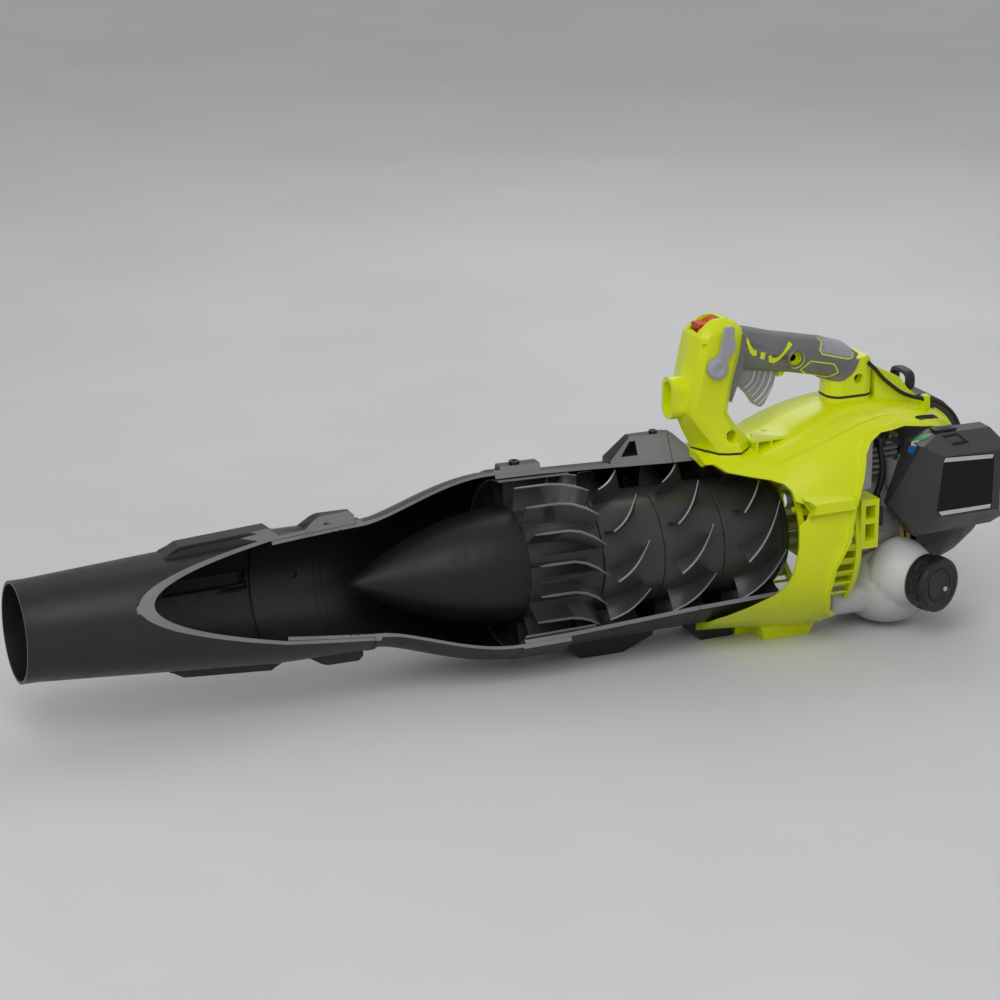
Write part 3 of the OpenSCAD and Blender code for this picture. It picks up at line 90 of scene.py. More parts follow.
def circle(steps: int) -> list[Spot]:
    """The cosine and sine of equal steps round a circle."""
    return [(math.cos(math.tau * k / steps), math.sin(math.tau * k / steps)) for k in range(steps)]


def shade(colour: Point, factor: float) -> Point:
    """A colour made darker or lighter, no brighter than white."""
    return tuple(min(1.0, c * factor) for c in colour)


class Body(str, Enum):
    """The moving groups of the blower, by their names in the frame."""

    MAIN = "blower"
    NOZZLE = "nozzle_tube"
    ROTOR = "rotor"
    TRIGGER = "throttle_trigger"
    CARB_ARM = "carburettor_arm"
    CRUISE = "cruise_control"
    STOP = "stop_rocker"
    CHOKE = "choke_control"
    PRIMER = "primer"
    LID = "filter_lid"
    LATCH = "filter_latch"
    GASKET = "cap_gasket"
    CAP = "tank_cap"
    GRIP = "pull_grip"
    PULLEY = "pull_pulley"


class ShaderBench:
    """A material under construction, with short ways to add and join its nodes."""

    def __init__(self, name: str) -> None:
        """Start a material.

        Args:
            name: The material's name.
        """
        self.material = bpy.data.materials.new(name)
        self.material.use_nodes = True
        self.tree = self.material.node_tree
        self.shader = self.tree.nodes["Principled BSDF"]
        self._coords: Optional[Socket] = None

    def add(self, kind: str, **settings: object) -> bpy.types.Node:
        """Add a node and set its properties.

        Args:
            kind: The node's type name, without its common prefix.
            **settings: Properties set on the node.

        Returns:
            The new node.
        """
        node = self.tree.nodes.new("ShaderNode" + kind)
        for key, value in settings.items():
            setattr(node, key, value)
        return node

    def plug(self, value: object, socket: Socket) -> None:
        """Join a socket to another, or set it to a plain value.

        Args:
            value: The socket or the value.
            socket: The socket that gets it.
        """
        if isinstance(value, bpy.types.NodeSocket):
            self.tree.links.new(value, socket)
        else:
            socket.default_value = value

    @property
    def coords(self) -> Socket:
        """The object's own coordinates, fetched once.

        Returns:
            The coordinates.
        """
        if self._coords is None:
            self._coords = self.add("TexCoord").outputs["Object"]
        return self._coords

    def noise(self, scale: float, detail: float = 3.0) -> Socket:
        """Fractal noise over the surface.

        Args:
            scale: How many spots fit in a metre.
            detail: The number of octaves.

        Returns:
            The noise value.
        """
        node = self.add("TexNoise")
        node.inputs["Scale"].default_value = scale
        node.inputs["Detail"].default_value = detail
        self.plug(self.coords, node.inputs["Vector"])
        return node.outputs["Fac"]

    def cells(self, scale: float) -> Socket:
        """Distance to the nearest of many scattered points.

        Args:
            scale: How many cells fit in a metre.

        Returns:
            The distance.
        """
        node = self.add("TexVoronoi")
        node.inputs["Scale"].default_value = scale
        self.plug(self.coords, node.inputs["Vector"])
        return node.outputs["Distance"]

    def calc(self, kind: str, a: object, b: object) -> Socket:
        """One step of arithmetic.

        Args:
            kind: The operation.
            a: First value or socket.
            b: Second value or socket.

        Returns:
            The result.
        """
        node = self.add("Math", operation=kind)
        self.plug(a, node.inputs[0])
        self.plug(b, node.inputs[1])
        return node.outputs[0]

    def between(self, value: Socket, low: float, high: float, to_low: float = 0.0,
                to_high: float = 1.0) -> Socket:
        """A value's smooth step from one range to another.

        Args:
            value: The value.
            low: Where the step starts.
            high: Where the step ends.
            to_low: The result before the step.
            to_high: The result after it.

        Returns:
            The stepped value.
        """
        node = self.add("MapRange", interpolation_type="SMOOTHSTEP")
        self.plug(value, node.inputs["Value"])
        for key, number in zip(("From Min", "From Max", "To Min", "To Max"),
                               (low, high, to_low, to_high)):
            node.inputs[key].default_value = number
        return node.outputs["Result"]

    def off_axis(self) -> Socket:
        """Distance from the fan axis.

        Returns:
            The distance in metres.
        """
        flat = self.add("Mapping")
        flat.inputs["Scale"].default_value = (0.0, 1.0, 1.0)
        self.plug(self.coords, flat.inputs["Vector"])
        node = self.add("VectorMath", operation="LENGTH")
        self.plug(flat.outputs["Vector"], node.inputs[0])
        return node.outputs["Value"]

    def blend(self, factor: object, a: object, b: object) -> Socket:
        """A colour between two colours.

        Args:
            factor: 0 gives the first colour and 1 the second.
            a: First colour or socket.
            b: Second colour or socket.

        Returns:
            The blended colour.
        """
        node = self.add("Mix", data_type="RGBA")
        self.plug(factor, node.inputs[0])
        for value, socket in ((a, node.inputs[6]), (b, node.inputs[7])):
            self.plug((*value, 1.0) if isinstance(value, tuple) else value, socket)
        return node.outputs[2]

    def bump(self, height: Socket, depth: float) -> None:
        """Press a height pattern into the surface.

        Args:
            height: The pattern, from 0 to 1.
            depth: Its depth in millimetres.
        """
        node = self.add("Bump")
        node.inputs["Strength"].default_value = 1.0
        node.inputs["Distance"].default_value = depth * MM
        self.plug(height, node.inputs["Height"])
        self.plug(node.outputs["Normal"], self.shader.inputs["Normal"])

    def set(self, **values: object) -> None:
        """Set inputs of the shader.

        Args:
            **values: Values or sockets, by name; underscores stand for spaces.
        """
        for key, value in values.items():
            socket = self.shader.inputs[key.replace("_", " ")]
            if isinstance(value, tuple) and len(value) == 3 and socket.type == "RGBA":
                value = (*value, 1.0)
            self.plug(value, socket)


@dataclass(frozen=True)
class Moulding:
    """Moulded plastic or rubber with a fine spark-eroded grain."""

    name: str
    slot: str
    colour: Point
    rough: float = 0.45
    grain: float = 0.05
    grain_scale: float = 2600.0
    tone: float = 0.10
    coat: float = 0.0
    metal: float = 0.0
    gloss: float = 0.5
    # tip: a radius from the fan axis and a pale colour painted beyond it, a painted highlight on
    # blade and vane tips.
    tip: Optional[tuple[float, Point]] = None
    cloud_scale: float = 14.0
    scuff_scale: float = 60.0
    scuff: float = 0.12

    def bench(self) -> ShaderBench:
        """Build the material's nodes.

        Returns:
            The bench that holds the material.
        """
        b = ShaderBench(self.name)
        cloud = b.between(b.noise(self.cloud_scale, 4.0), 0.3, 0.7)
        colour = b.blend(cloud, shade(self.colour, 1 - self.tone),
                         shade(self.colour, 1 + self.tone))
        # Painted highlight: the colour turns pale over the last half millimetre below the tip
        # radius and stays pale beyond it.
        if self.tip:
            radius, pale = self.tip
            rim = b.between(b.off_axis(), (radius - 0.5) * MM, radius * MM)
            colour = b.blend(rim, colour, pale)
        scuff = b.between(b.noise(self.scuff_scale, 6.0), 0.45, 0.75)
        b.set(Base_Color=colour, Metallic=self.metal, Coat_Weight=self.coat, Coat_Roughness=0.25,
              Specular_IOR_Level=self.gloss,
              Roughness=b.calc("ADD", b.calc("MULTIPLY", scuff, self.scuff),
                               self.rough - self.scuff / 2))
        b.bump(b.noise(self.grain_scale, 2.0), self.grain)
        return b

    def material(self) -> bpy.types.Material:
        """The finished material."""
        return self.bench().material


@dataclass(frozen=True)
class Casting(Moulding):
    """Sand-grey cast metal with fine pits and darker hollows."""

    cloud_scale: float = 45.0
    scuff_scale: float = 120.0
    pit: float = 0.3
    pit_scale: float = 1400.0

    def bench(self) -> ShaderBench:
        """Build the material's nodes.

        Returns:
            The bench that holds the material.
        """
        b = ShaderBench(self.name)
        cloud = b.between(b.noise(self.cloud_scale, 5.0), 0.3, 0.7)
        pits = b.between(b.cells(self.pit_scale), 0.05, 0.35)
        base = b.blend(cloud, shade(self.colour, 1 - self.tone), self.colour)
        scuff = b.noise(self.scuff_scale, 4.0)
        b.set(Base_Color=b.blend(pits, shade(self.colour, 1 - self.pit), base),
              Metallic=self.metal,
              Roughness=b.between(scuff, 0.3, 0.8, self.rough - 0.1, self.rough + 0.1))
        b.bump(b.calc("ADD", pits, b.noise(self.grain_scale, 3.0)), self.grain)
        return b


@dataclass(frozen=True)
class Blown(Moulding):
    """Milky blow-moulded plastic that lets some light in, darker towards the bottom."""

    cloud_scale: float = 22.0
    scuff_scale: float = 70.0
    depth: float = 6.0
    darkening_heights: Spot = (-0.075, -0.045)

    def bench(self) -> ShaderBench:
        """Build the material's nodes.

        Returns:
            The bench that holds the material.
        """
        b = ShaderBench(self.name)
        cloud = b.between(b.noise(self.cloud_scale), 0.3, 0.7)
        height = b.add("SeparateXYZ")
        b.plug(b.coords, height.inputs[0])
        # Darker towards the bottom: fully darker below the first height, in metres, plain above the
        # second.
        above = b.between(height.outputs["Z"], *self.darkening_heights)
        wall = b.blend(cloud, shade(self.colour, 0.94), self.colour)
        b.set(Base_Color=b.blend(above, shade(self.colour, 0.80), wall),
              Roughness=b.between(b.noise(self.scuff_scale), 0.3, 0.7, 0.30, 0.42),
              Subsurface_Weight=0.25, Subsurface_Radius=(1.0, 0.95, 0.9),
              Subsurface_Scale=self.depth * MM)
        b.bump(b.noise(320.0), 0.12)
        return b


@dataclass(frozen=True)
class Braid(Moulding):
    """Twisted or braided fibre, seen as fine slanted strands."""

    strand: float = 900.0

    def bench(self) -> ShaderBench:
        """Build the material's nodes.

        Returns:
            The bench that holds the material.
        """
        b = ShaderBench(self.name)
        wave = b.add("TexWave", bands_direction="DIAGONAL")
        wave.inputs["Scale"].default_value = self.strand
        wave.inputs["Distortion"].default_value = 1.5
        b.plug(b.coords, wave.inputs["Vector"])
        b.set(Base_Color=b.blend(wave.outputs["Fac"], shade(self.colour, 0.6), self.colour),
              Roughness=b.between(b.noise(400.0, 2.0), 0.3, 0.7, self.rough, 0.95))
        b.bump(wave.outputs["Fac"], 0.3)
        return b


TUBE = Moulding("tube_black", "tube_black", (0.015, 0.015, 0.017), 0.42, 0.03, gloss=0.5)
DUCT = Moulding("duct_black", "duct_black", (0.013, 0.013, 0.015), 0.46, 0.04, gloss=0.45)
CONE = Moulding("cone_black", "tube_black", (0.013, 0.012, 0.012), 0.46, 0.03, gloss=0.35)
# Pale grey for the window's cut faces, a painted highlight along the cut edge of the black tubes.
CUT_HIGHLIGHT = Moulding("cut_face_highlight", "tube_black", (0.22, 0.22, 0.23), 0.50, 0.02)
# Painted highlight: past its tip radius each of these two colours turns pale, standing in for light
# on the vane and blade tip edges.
STATOR = Moulding("stator_grey", "stator_grey", (0.030, 0.030, 0.033), 0.42, 0.03,
                  tip=(77.6, (0.17, 0.17, 0.18)))
FAN = Moulding("fan_grey", "fan_grey", (0.050, 0.047, 0.045), 0.38, 0.03,
               tip=(74.3, (0.36, 0.36, 0.37)))
LIME = Moulding("lime_gloss", "lime", (0.80, 0.90, 0.002), 0.32, 0.006, tone=0.015, coat=0.25,
                gloss=0.4)
GRIP = Moulding("grip_rubber", "grip_rubber", (0.190, 0.190, 0.198), 0.58, 0.10, 1700.0)
STUD = Moulding("grip_studs", "grip_rubber", (0.58, 0.58, 0.62), 0.50, 0.02, 1700.0)
STUD_BED = Moulding("stud_bed", "grip_rubber", (0.33, 0.33, 0.36), 0.58, 0.04, 1700.0)
SEAL = Moulding("seal_rubber", "seal_rubber", (0.030, 0.018, 0.014), 0.55, 0.05)
TRIGGER = Moulding("trigger_grey", "trigger_grey", (0.32, 0.32, 0.33), 0.45, 0.03)
TRIGGER_RIB = Moulding("trigger_rib", "trigger_grey", (0.60, 0.60, 0.62), 0.40, 0.02)
LEVER = Moulding("lever_grey", "lever_grey", (0.40, 0.40, 0.45), 0.42, 0.03)
RED = Moulding("switch_red", "switch_red", (0.60, 0.010, 0.008), 0.32, 0.01, coat=0.2)
CORD = Moulding("cord_black", "cord_black", (0.010, 0.010, 0.011), 0.40, 0.02)
STEEL = Moulding("screw_steel", "screw_steel", (0.55, 0.55, 0.56), 0.32, 0.01, metal=1.0)
DARK_STEEL = Moulding("dark_steel", "dark_steel", (0.05, 0.05, 0.055), 0.4, 0.01, metal=1.0)
ALLOY = Casting("cast_alloy", "cast_alloy", (0.66, 0.66, 0.67), 0.50, 0.12, 900.0, 0.15, metal=0.1)
CERAMIC = Moulding("plug_ceramic", "plug_ceramic", (0.78, 0.77, 0.73), 0.2, 0.0)
COIL = Moulding("coil_black", "coil_black", (0.02, 0.02, 0.022), 0.5, 0.05)
MUFFLER = Casting("muffler_steel", "muffler_steel", (0.33, 0.31, 0.29), 0.5, 0.05, 500.0, 0.2,
                  metal=0.9)
PRIMER = Moulding("primer_red", "primer_red", (0.35, 0.07, 0.05), 0.3, 0.0)
COVER = Moulding("cover_grey", "cover_grey", (0.040, 0.040, 0.044), 0.45, 0.05)
COVER_DARK = Moulding("cover_dark", "cover_dark", (0.020, 0.020, 0.022), 0.5, 0.05)
PLATE = Moulding("plate_black", "cover_dark", (0.004, 0.004, 0.005), 0.35, 0.01, gloss=0.25)
BAND_WHITE = Moulding("band_white", "lever_grey", (0.62, 0.63, 0.64), 0.40, 0.02, tone=0.05)
BAND_GREEN = Moulding("band_green", "lime", (0.010, 0.24, 0.060), 0.40, 0.02, tone=0.05)
BAND_BLUE = Moulding("band_blue", "choke_blue", (0.010, 0.16, 0.48), 0.40, 0.02, tone=0.05)
FELT = Braid("filter_felt", "filter_felt", (0.62, 0.58, 0.46), 0.8, strand=500.0)
CHOKE = Moulding("choke_dark", "choke_blue", (0.030, 0.032, 0.036), 0.40, 0.02)
ROPE = Braid("rope_white", "rope_white", (0.60, 0.60, 0.57), 0.8)
CAP = Moulding("cap_black", "cap_black", (0.014, 0.014, 0.015), 0.46, 0.06)
AMBER = Moulding("fuel_amber", "fuel_amber", (0.34, 0.21, 0.03), 0.20, 0.0, coat=0.5)
TANK = Blown("tank_milky", "tank_milky", (0.76, 0.76, 0.76), 0.35, 0.02)


NODE_FINISH: dict[str, Moulding] = {node: finish for finish, nodes in (
    (TUBE, "nozzle diffuser"),
    (DUCT, "fan_duct intake_ring"),
    (CONE, "tail_cone"),
    (STATOR, "stator"),
    (FAN, "fan_spinner starter_pulley"),
    (LIME, "housing_left housing_right handle_left handle_right intake_guard engine_plate"),
    (LIME, "cable_clip"),
    (GRIP, "grip_rubber"),
    (SEAL, "front_seal rear_seal cap_seal"),
    (TRIGGER, "trigger"),
    (STEEL, "stator_bearing drive_shaft fan_nut trigger_pin throttle_arm"),
    (DARK_STEEL, "duct_screws handle_screws"),
    (ALLOY, "crankcase engine_cylinder carburettor air_shroud"),
    (CERAMIC, "spark_plug"),
    (CORD, "plug_boot plug_lead"),
    (COIL, "ignition_coil"),
    (MUFFLER, "muffler heat_shield"),
    (PRIMER, "primer_bulb"),
    (COVER, "filter_cover engine_cover"),
    (COVER_DARK, "filter_base cover_latch starter_housing"),
    (FELT, "filter_element"),
    (CHOKE, "choke_lever"),
    (TANK, "fuel_tank"),
    (AMBER, "fuel_lines"),
) for node in nodes.split()}


@dataclass
class Workshop:
    """Keeps one material for each finish and turns meshes into pieces."""

    nodes: dict[str, bpy.types.Object]
    bodies: dict[str, list[str]]
    made: dict[str, bpy.types.Material] = field(default_factory=dict)
    merge: float = 2e-6
    flatten: float = 0.4

    def material(self, finish: Moulding) -> bpy.types.Material:
        """The material of a finish, built once.

        Args:
            finish: The finish.

        Returns:
            Its material.
        """
        if finish.name not in self.made:
            self.made[finish.name] = finish.material()
        return self.made[finish.name]

    def piece(self, name: str, mesh: bpy.types.Mesh, finish: Moulding, body: Optional[Body],
              replaces: Iterable[str] = (), sharp: float = 35.0) -> bpy.types.Object:
        """Make a finished object of a mesh.

        Args:
            name: The piece's name.
            mesh: Its mesh, in place.
            finish: Its finish.
            body: The moving group that carries it; None for a piece that spans two groups.
            replaces: The frame nodes that it stands for.
            sharp: Edges that fold more than this many degrees stay sharp.

        Returns:
            The new object.
        """
        mesh.materials.clear()
        mesh.materials.append(self.material(finish))
        mesh.shade_smooth()
        mesh.set_sharp_from_angle(angle=math.radians(sharp))
        thing = bpy.data.objects.new(name, mesh)
        bpy.context.scene.collection.objects.link(thing)
        if body:
            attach(thing, body.value)
        if replaces:
            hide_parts(*replaces)
        LOG.info("%s: %d faces on %s", name, len(mesh.polygons),
                 body.value if body else "two bodies")
        return thing

    def soften(self, thing: bpy.types.Object, radius: float, segments: int = 2,
               angle: float = 32.0) -> bpy.types.Object:
        """Round the sharp edges of a piece.

        Args:
            thing: The piece.
            radius: The radius in millimetres.
            segments: Facets across the rounding.
            angle: Edges that fold more than this many degrees are rounded.

        Returns:
            The same piece.
        """
        soft = thing.modifiers.new("soft edges", "BEVEL")
        soft.width = radius * MM
        soft.segments = segments
        soft.limit_method = "ANGLE"
        soft.angle_limit = math.radians(angle)
        soft.use_clamp_overlap = True
        soft.harden_normals = True
        return thing

    def from_node(self, node: str, round_edge: float = 0.0,
                  sharp: float = 35.0) -> bpy.types.Object:
        """A merged and softened copy of a frame node.

        Args:
            node: The node.
            round_edge: Radius of its softened edges in millimetres, or 0.
            sharp: Edges that fold more than this many degrees stay sharp.

        Returns:
            The piece that stands for the node.
        """
        body = next(body for body, nodes in self.bodies.items() if node in nodes)
        bm = bmesh.new()
        bm.from_mesh(self.nodes[node].data)
        bmesh.ops.remove_doubles(bm, verts=bm.verts, dist=self.merge)
        bmesh.ops.dissolve_limit(bm, angle_limit=math.radians(self.flatten), verts=bm.verts,
                                 edges=bm.edges)
        mesh = bpy.data.meshes.new(node + "_skin")
        bm.to_mesh(mesh)
        bm.free()
        thing = self.piece(node + "_skin", mesh, NODE_FINISH[node], Body(body), (node,), sharp)
        if round_edge:
            self.soften(thing, round_edge)
        return thing

    def dress(self, nodes: str, round_edge: float = 0.0, sharp: float = 35.0) -> None:
        """Turn several frame nodes into pieces.

        Args:
            nodes: Their names, with spaces between.
            round_edge: Radius of their softened edges in millimetres, or 0.
            sharp: Edges that fold more than this many degrees stay sharp.
        """
        for node in nodes.split():
            self.from_node(node, round_edge, sharp)

    def repeated(self, mesh: bpy.types.Mesh, tree: bpy.types.NodeTree, finish: Moulding,
                 **inputs: object) -> bpy.types.Mesh:
        """Run a mesh through a tree of geometry nodes.

        Args:
            mesh: The mesh that the tree starts from.
            tree: The tree.
            finish: The finish that it gives the result.
            **inputs: Its sizes, by name; underscores stand for spaces.

        Returns:
            The plain mesh that comes out.
        """
        thing = bpy.data.objects.new("pattern", mesh)
        bpy.context.scene.collection.objects.link(thing)
        grow = thing.modifiers.new("pattern", "NODES")
        grow.node_group = tree
        names = {item.name: item.identifier for item in tree.interface.items_tree
                 if item.in_out == "INPUT"}
        for key, value in inputs.items():
            grow[names[key.replace("_", " ")]] = value
        grow[names["Finish"]] = self.material(finish)
        graph = bpy.context.evaluated_depsgraph_get()
        result = bpy.data.meshes.new_from_object(thing.evaluated_get(graph))
        thing.modifiers.clear()
        bpy.data.objects.remove(thing)
        return result


def joined(name: str, *parts: bpy.types.Mesh) -> bpy.types.Mesh:
    """One mesh made of several closed ones, with its faces outward.

    Args:
        name: The new mesh's name.
        *parts: The meshes.

    Returns:
        The new mesh.
    """
    bm = bmesh.new()
    for part in parts:
        bm.from_mesh(part)
    bmesh.ops.recalc_face_normals(bm, faces=bm.faces)
    mesh = bpy.data.meshes.new(name)
    bm.to_mesh(mesh)
    bm.free()
    return mesh


class Pattern:
    """A tree of geometry nodes under construction."""

    def __init__(self, name: str, **inputs: str) -> None:
        """Start a tree.

        Args:
            name: The tree's name.
            **inputs: Socket types of its sizes, by name; underscores stand for spaces.
        """
        self.tree = bpy.data.node_groups.new(name, "GeometryNodeTree")
        face = self.tree.interface
        face.new_socket(name="Shape", in_out="INPUT", socket_type="NodeSocketGeometry")
        for key, kind in inputs.items():
            face.new_socket(name=key.replace("_", " "), in_out="INPUT",
                            socket_type="NodeSocket" + kind)
        face.new_socket(name="Finish", in_out="INPUT", socket_type="NodeSocketMaterial")
        face.new_socket(name="Shape", in_out="OUTPUT", socket_type="NodeSocketGeometry")
        self.start = self.tree.nodes.new("NodeGroupInput")

    def add(self, kind: str, **settings: object) -> bpy.types.Node:
        """Add a node and set its properties.

        Args:
            kind: The node's full type name.
            **settings: Properties set on the node.

        Returns:
            The new node.
        """
        node = self.tree.nodes.new(kind)
        for key, value in settings.items():
            setattr(node, key, value)
        return node

    def plug(self, a: Socket, b: Socket) -> None:
        """Join two sockets."""
        self.tree.links.new(a, b)

    def close(self, shape: Socket) -> bpy.types.NodeTree:
        """Make the copies real, give them their finish and end the tree.

        Args:
            shape: The geometry to put out.

        Returns:
            The finished tree.
        """
        real = self.add("GeometryNodeRealizeInstances")
        paint = self.add("GeometryNodeSetMaterial")
        end = self.add("NodeGroupOutput")
        self.plug(shape, real.inputs["Geometry"])
        self.plug(real.outputs["Geometry"], paint.inputs["Geometry"])
        self.plug(self.start.outputs["Finish"], paint.inputs["Material"])
        self.plug(paint.outputs["Geometry"], end.inputs["Shape"])
        return self.tree


def copies_tree() -> bpy.types.NodeTree:
    """A tree that sets copies of its shape in a row or a ring.

    Returns:
        The tree, with inputs for the count, the step and the turn between copies.
    """
    p = Pattern("copies", Count="Int", Step="Vector", Turn="Vector", First="Vector")
    line = p.add("GeometryNodeMeshLine", mode="OFFSET")
    index = p.add("GeometryNodeInputIndex")
    turn = p.add("ShaderNodeVectorMath", operation="SCALE")
    total = p.add("ShaderNodeVectorMath", operation="ADD")
    place = p.add("GeometryNodeInstanceOnPoints")
    p.plug(p.start.outputs["Count"], line.inputs["Count"])
    p.plug(p.start.outputs["Step"], line.inputs["Offset"])
    p.plug(p.start.outputs["Turn"], turn.inputs[0])
    p.plug(index.outputs[0], turn.inputs["Scale"])
    p.plug(turn.outputs[0], total.inputs[0])
    p.plug(p.start.outputs["First"], total.inputs[1])
    p.plug(line.outputs["Mesh"], place.inputs["Points"])
    p.plug(p.start.outputs["Shape"], place.inputs["Instance"])
    p.plug(total.outputs[0], place.inputs["Rotation"])
    return p.close(place.outputs["Instances"])


def studs_tree() -> bpy.types.NodeTree:
    """A tree that stands a small stud on every point of its shape.

    Returns:
        The tree, with inputs for a stud's radius, height and number of sides.
    """
    p = Pattern("studs", Radius="Float", Height="Float", Sides="Int")
    stud = p.add("GeometryNodeMeshCylinder")
    facing = p.add("GeometryNodeInputNamedAttribute", data_type="FLOAT_VECTOR")
    facing.inputs["Name"].default_value = "facing"
    align = p.add("FunctionNodeAlignRotationToVector", axis="Z")
    place = p.add("GeometryNodeInstanceOnPoints")
    p.plug(p.start.outputs["Sides"], stud.inputs["Vertices"])
    p.plug(p.start.outputs["Radius"], stud.inputs["Radius"])
    p.plug(p.start.outputs["Height"], stud.inputs["Depth"])
    p.plug(facing.outputs["Attribute"], align.inputs["Vector"])
    p.plug(p.start.outputs["Shape"], place.inputs["Points"])
    p.plug(stud.outputs["Mesh"], place.inputs["Instance"])
    p.plug(align.outputs[0], place.inputs["Rotation"])
    return p.close(place.outputs["Instances"])


class Form:
    """A mesh under construction, in millimetres; X counts from the rear face of the fan duct."""

    merge: float = 1e-6

    def __init__(self, shift: float = BACK) -> None:
        """Start an empty form.

        Args:
            shift: Where X = 0 lies along the fan axis.
        """
        self.bm = bmesh.new()
        self.shift = shift

    def at(self, p: Sequence[float]) -> bmesh.types.BMVert:
        """A new corner at a point."""
        return self.bm.verts.new(metres(p, self.shift))

    def skin(self, rings: Sequence[Sequence[Sequence[float]]], loop: bool = False,
             wrap: bool = True) -> "Form":
        """Stretch a skin over rings of equal length and close its ends.

        Args:
            rings: The rings, in order.
            loop: Join the last ring to the first.
            wrap: Join the last point of each ring to the first.

        Returns:
            The form itself.
        """
        rows = [[self.at(p) for p in ring] for ring in rings]
        pairs = list(zip(rows, rows[1:])) + ([(rows[-1], rows[0])] if loop else [])
        n = len(rows[0])
        for a, b in pairs:
            for j in range(n if wrap else n - 1):
                k = (j + 1) % n
                self.bm.faces.new((a[j], b[j], b[k], a[k]))
        if not loop:
            self.bm.faces.new(rows[0])
            self.bm.faces.new(list(reversed(rows[-1])))
        return self

    def prism(self, outline: Sequence[Spot], axis: int, low: float, high: float) -> "Form":
        """Stretch a flat outline along one axis.

        Args:
            outline: Points in the other two axes, in order.
            axis: 0, 1 or 2 for X, Y or Z.
            low: Where it starts.
            high: Where it ends.

        Returns:
            The form itself.
        """
        return self.skin([[(*p[:axis], v, *p[axis:]) for p in outline] for v in (low, high)])

    def hose(self, path: Sequence[Point], radius: float, sides: int = 12) -> "Form":
        """Sweep a round section along a path.

        Args:
            path: Its points.
            radius: The radius of the section.
            sides: Corners of the section.

        Returns:
            The form itself.
        """
        line = [Vector(p) for p in path]
        rings = []
        up = Vector((0.0, 0.31, 1.0))
        for i, p in enumerate(line):
            along = (line[min(i + 1, len(line) - 1)] - line[max(i - 1, 0)]).normalized()
            across = along.cross(up).normalized()
            up = across.cross(along).normalized()
            rings.append([p + (across * c + up * s) * radius for c, s in circle(sides)])
        return self.skin(rings)

    def turned(self, profile: Sequence[Spot], centre: Point, axis: Point,
               steps: int = 48) -> "Form":
        """Turn a profile round an axis.

        Args:
            profile: Points (radius, height along the axis), from one end to the other.
            centre: The point at height 0.
            axis: The direction of the axis.
            steps: Copies of the profile round the axis.

        Returns:
            The form itself.
        """
        spin = Vector(axis).normalized().to_track_quat("Z", "Y")
        rings = [[Vector(centre) + spin @ Vector((r * c, r * s, h)) for r, h in profile]
                 for c, s in circle(steps)]
        return self.skin(rings, loop=True, wrap=False)

    def plate(self, outline: Sequence[Point], skin: "Surface", rise: float,
              depth: float) -> "Form":
        """Lay a thin plate over a flat outline in space.

        Args:
            outline: Its points, in order.
            skin: The skin that it lies on.
            rise: How far it stands out of the skin.
            depth: How far it reaches under it.

        Returns:
            The form itself.
        """
        pts = [Vector(p) for p in outline]
        normal = sum((a.cross(b) for a, b in zip(pts, pts[1:] + pts[:1])), Vector()).normalized()
        if normal.dot(Vector((0.0, -1.0, 0.6))) < 0:
            normal = -normal
        tops = [skin.settle(p, normal, 4.0) for p in pts]
        return self.skin([[p + normal * rise for p in tops], [p - normal * depth for p in tops]])

    def sheet(self, corners: Sequence[Point], skin: "Surface", rise: float, depth: float,
              cells: tuple[int, int]) -> "Form":
        """Lay a four-sided plate that follows a curved skin.

        Args:
            corners: Its corners, in order.
            skin: The skin that it lies on.
            rise: How far it stands out of the skin.
            depth: How far it reaches under it.
            cells: Its divisions along the first and the second side.

        Returns:
            The form itself.
        """
        a, b, c, d = (Vector(p) for p in corners)
        normal = (c - a).cross(d - b).normalized()
        if normal.z < 0:
            normal = -normal
        n, m = cells
        grid = []
        for i in range(n + 1):
            for j in range(m + 1):
                p = a.lerp(b, i / n).lerp(d.lerp(c, i / n), j / m)
                grid.append(skin.settle(p, normal, 8.0))
        tops, feet = ([self.at(p + normal * h) for p in grid] for h in (rise, -depth))
        for i in range(n):
            for j in range(m):
                k = i * (m + 1) + j
                ring = (k, k + m + 1, k + m + 2, k + 1)
                self.bm.faces.new([tops[v] for v in ring])
                self.bm.faces.new([feet[v] for v in reversed(ring)])
        rim = [i * (m + 1) for i in range(n + 1)] + [n * (m + 1) + j for j in range(1, m + 1)]
        rim += [i * (m + 1) + m for i in range(n - 1, -1, -1)] + list(range(m - 1, 0, -1))
        for u, v in zip(rim, rim[1:] + rim[:1]):
            self.bm.faces.new((tops[u], tops[v], feet[v], feet[u]))
        return self

    def mesh(self, name: str) -> bpy.types.Mesh:
        """Close the form and hand over its mesh.

        Args:
            name: The mesh's name.

        Returns:
            The mesh, with its doubles merged and its faces outward.
        """
        bmesh.ops.remove_doubles(self.bm, verts=self.bm.verts, dist=self.merge)
        bmesh.ops.recalc_face_normals(self.bm, faces=self.bm.faces)
        mesh = bpy.data.meshes.new(name)
        self.bm.to_mesh(mesh)
        self.bm.free()
        return mesh


def smooth_path(path: Sequence[Sequence[float]], step: float) -> list[Vector]:
    """A smooth curve through points, cut into short steps.

    Args:
        path: The points that it passes.
        step: The length of a step.

    Returns:
        Points along the curve.
    """
    pts = [Vector(p) for p in path]
    out = []
    for i in range(len(pts) - 1):
        a, b = pts[max(i - 1, 0)], pts[i]
        c, d = pts[i + 1], pts[min(i + 2, len(pts) - 1)]
        n = max(1, round((c - b).length / step))
        for k in range(n):
            t = k / n
            out.append(0.5 * (2 * b + (c - a) * t + (2 * a - 5 * b + 4 * c - d) * t * t
                              + (3 * b - a - 3 * c + d) * t ** 3))
    return out + [pts[-1]]


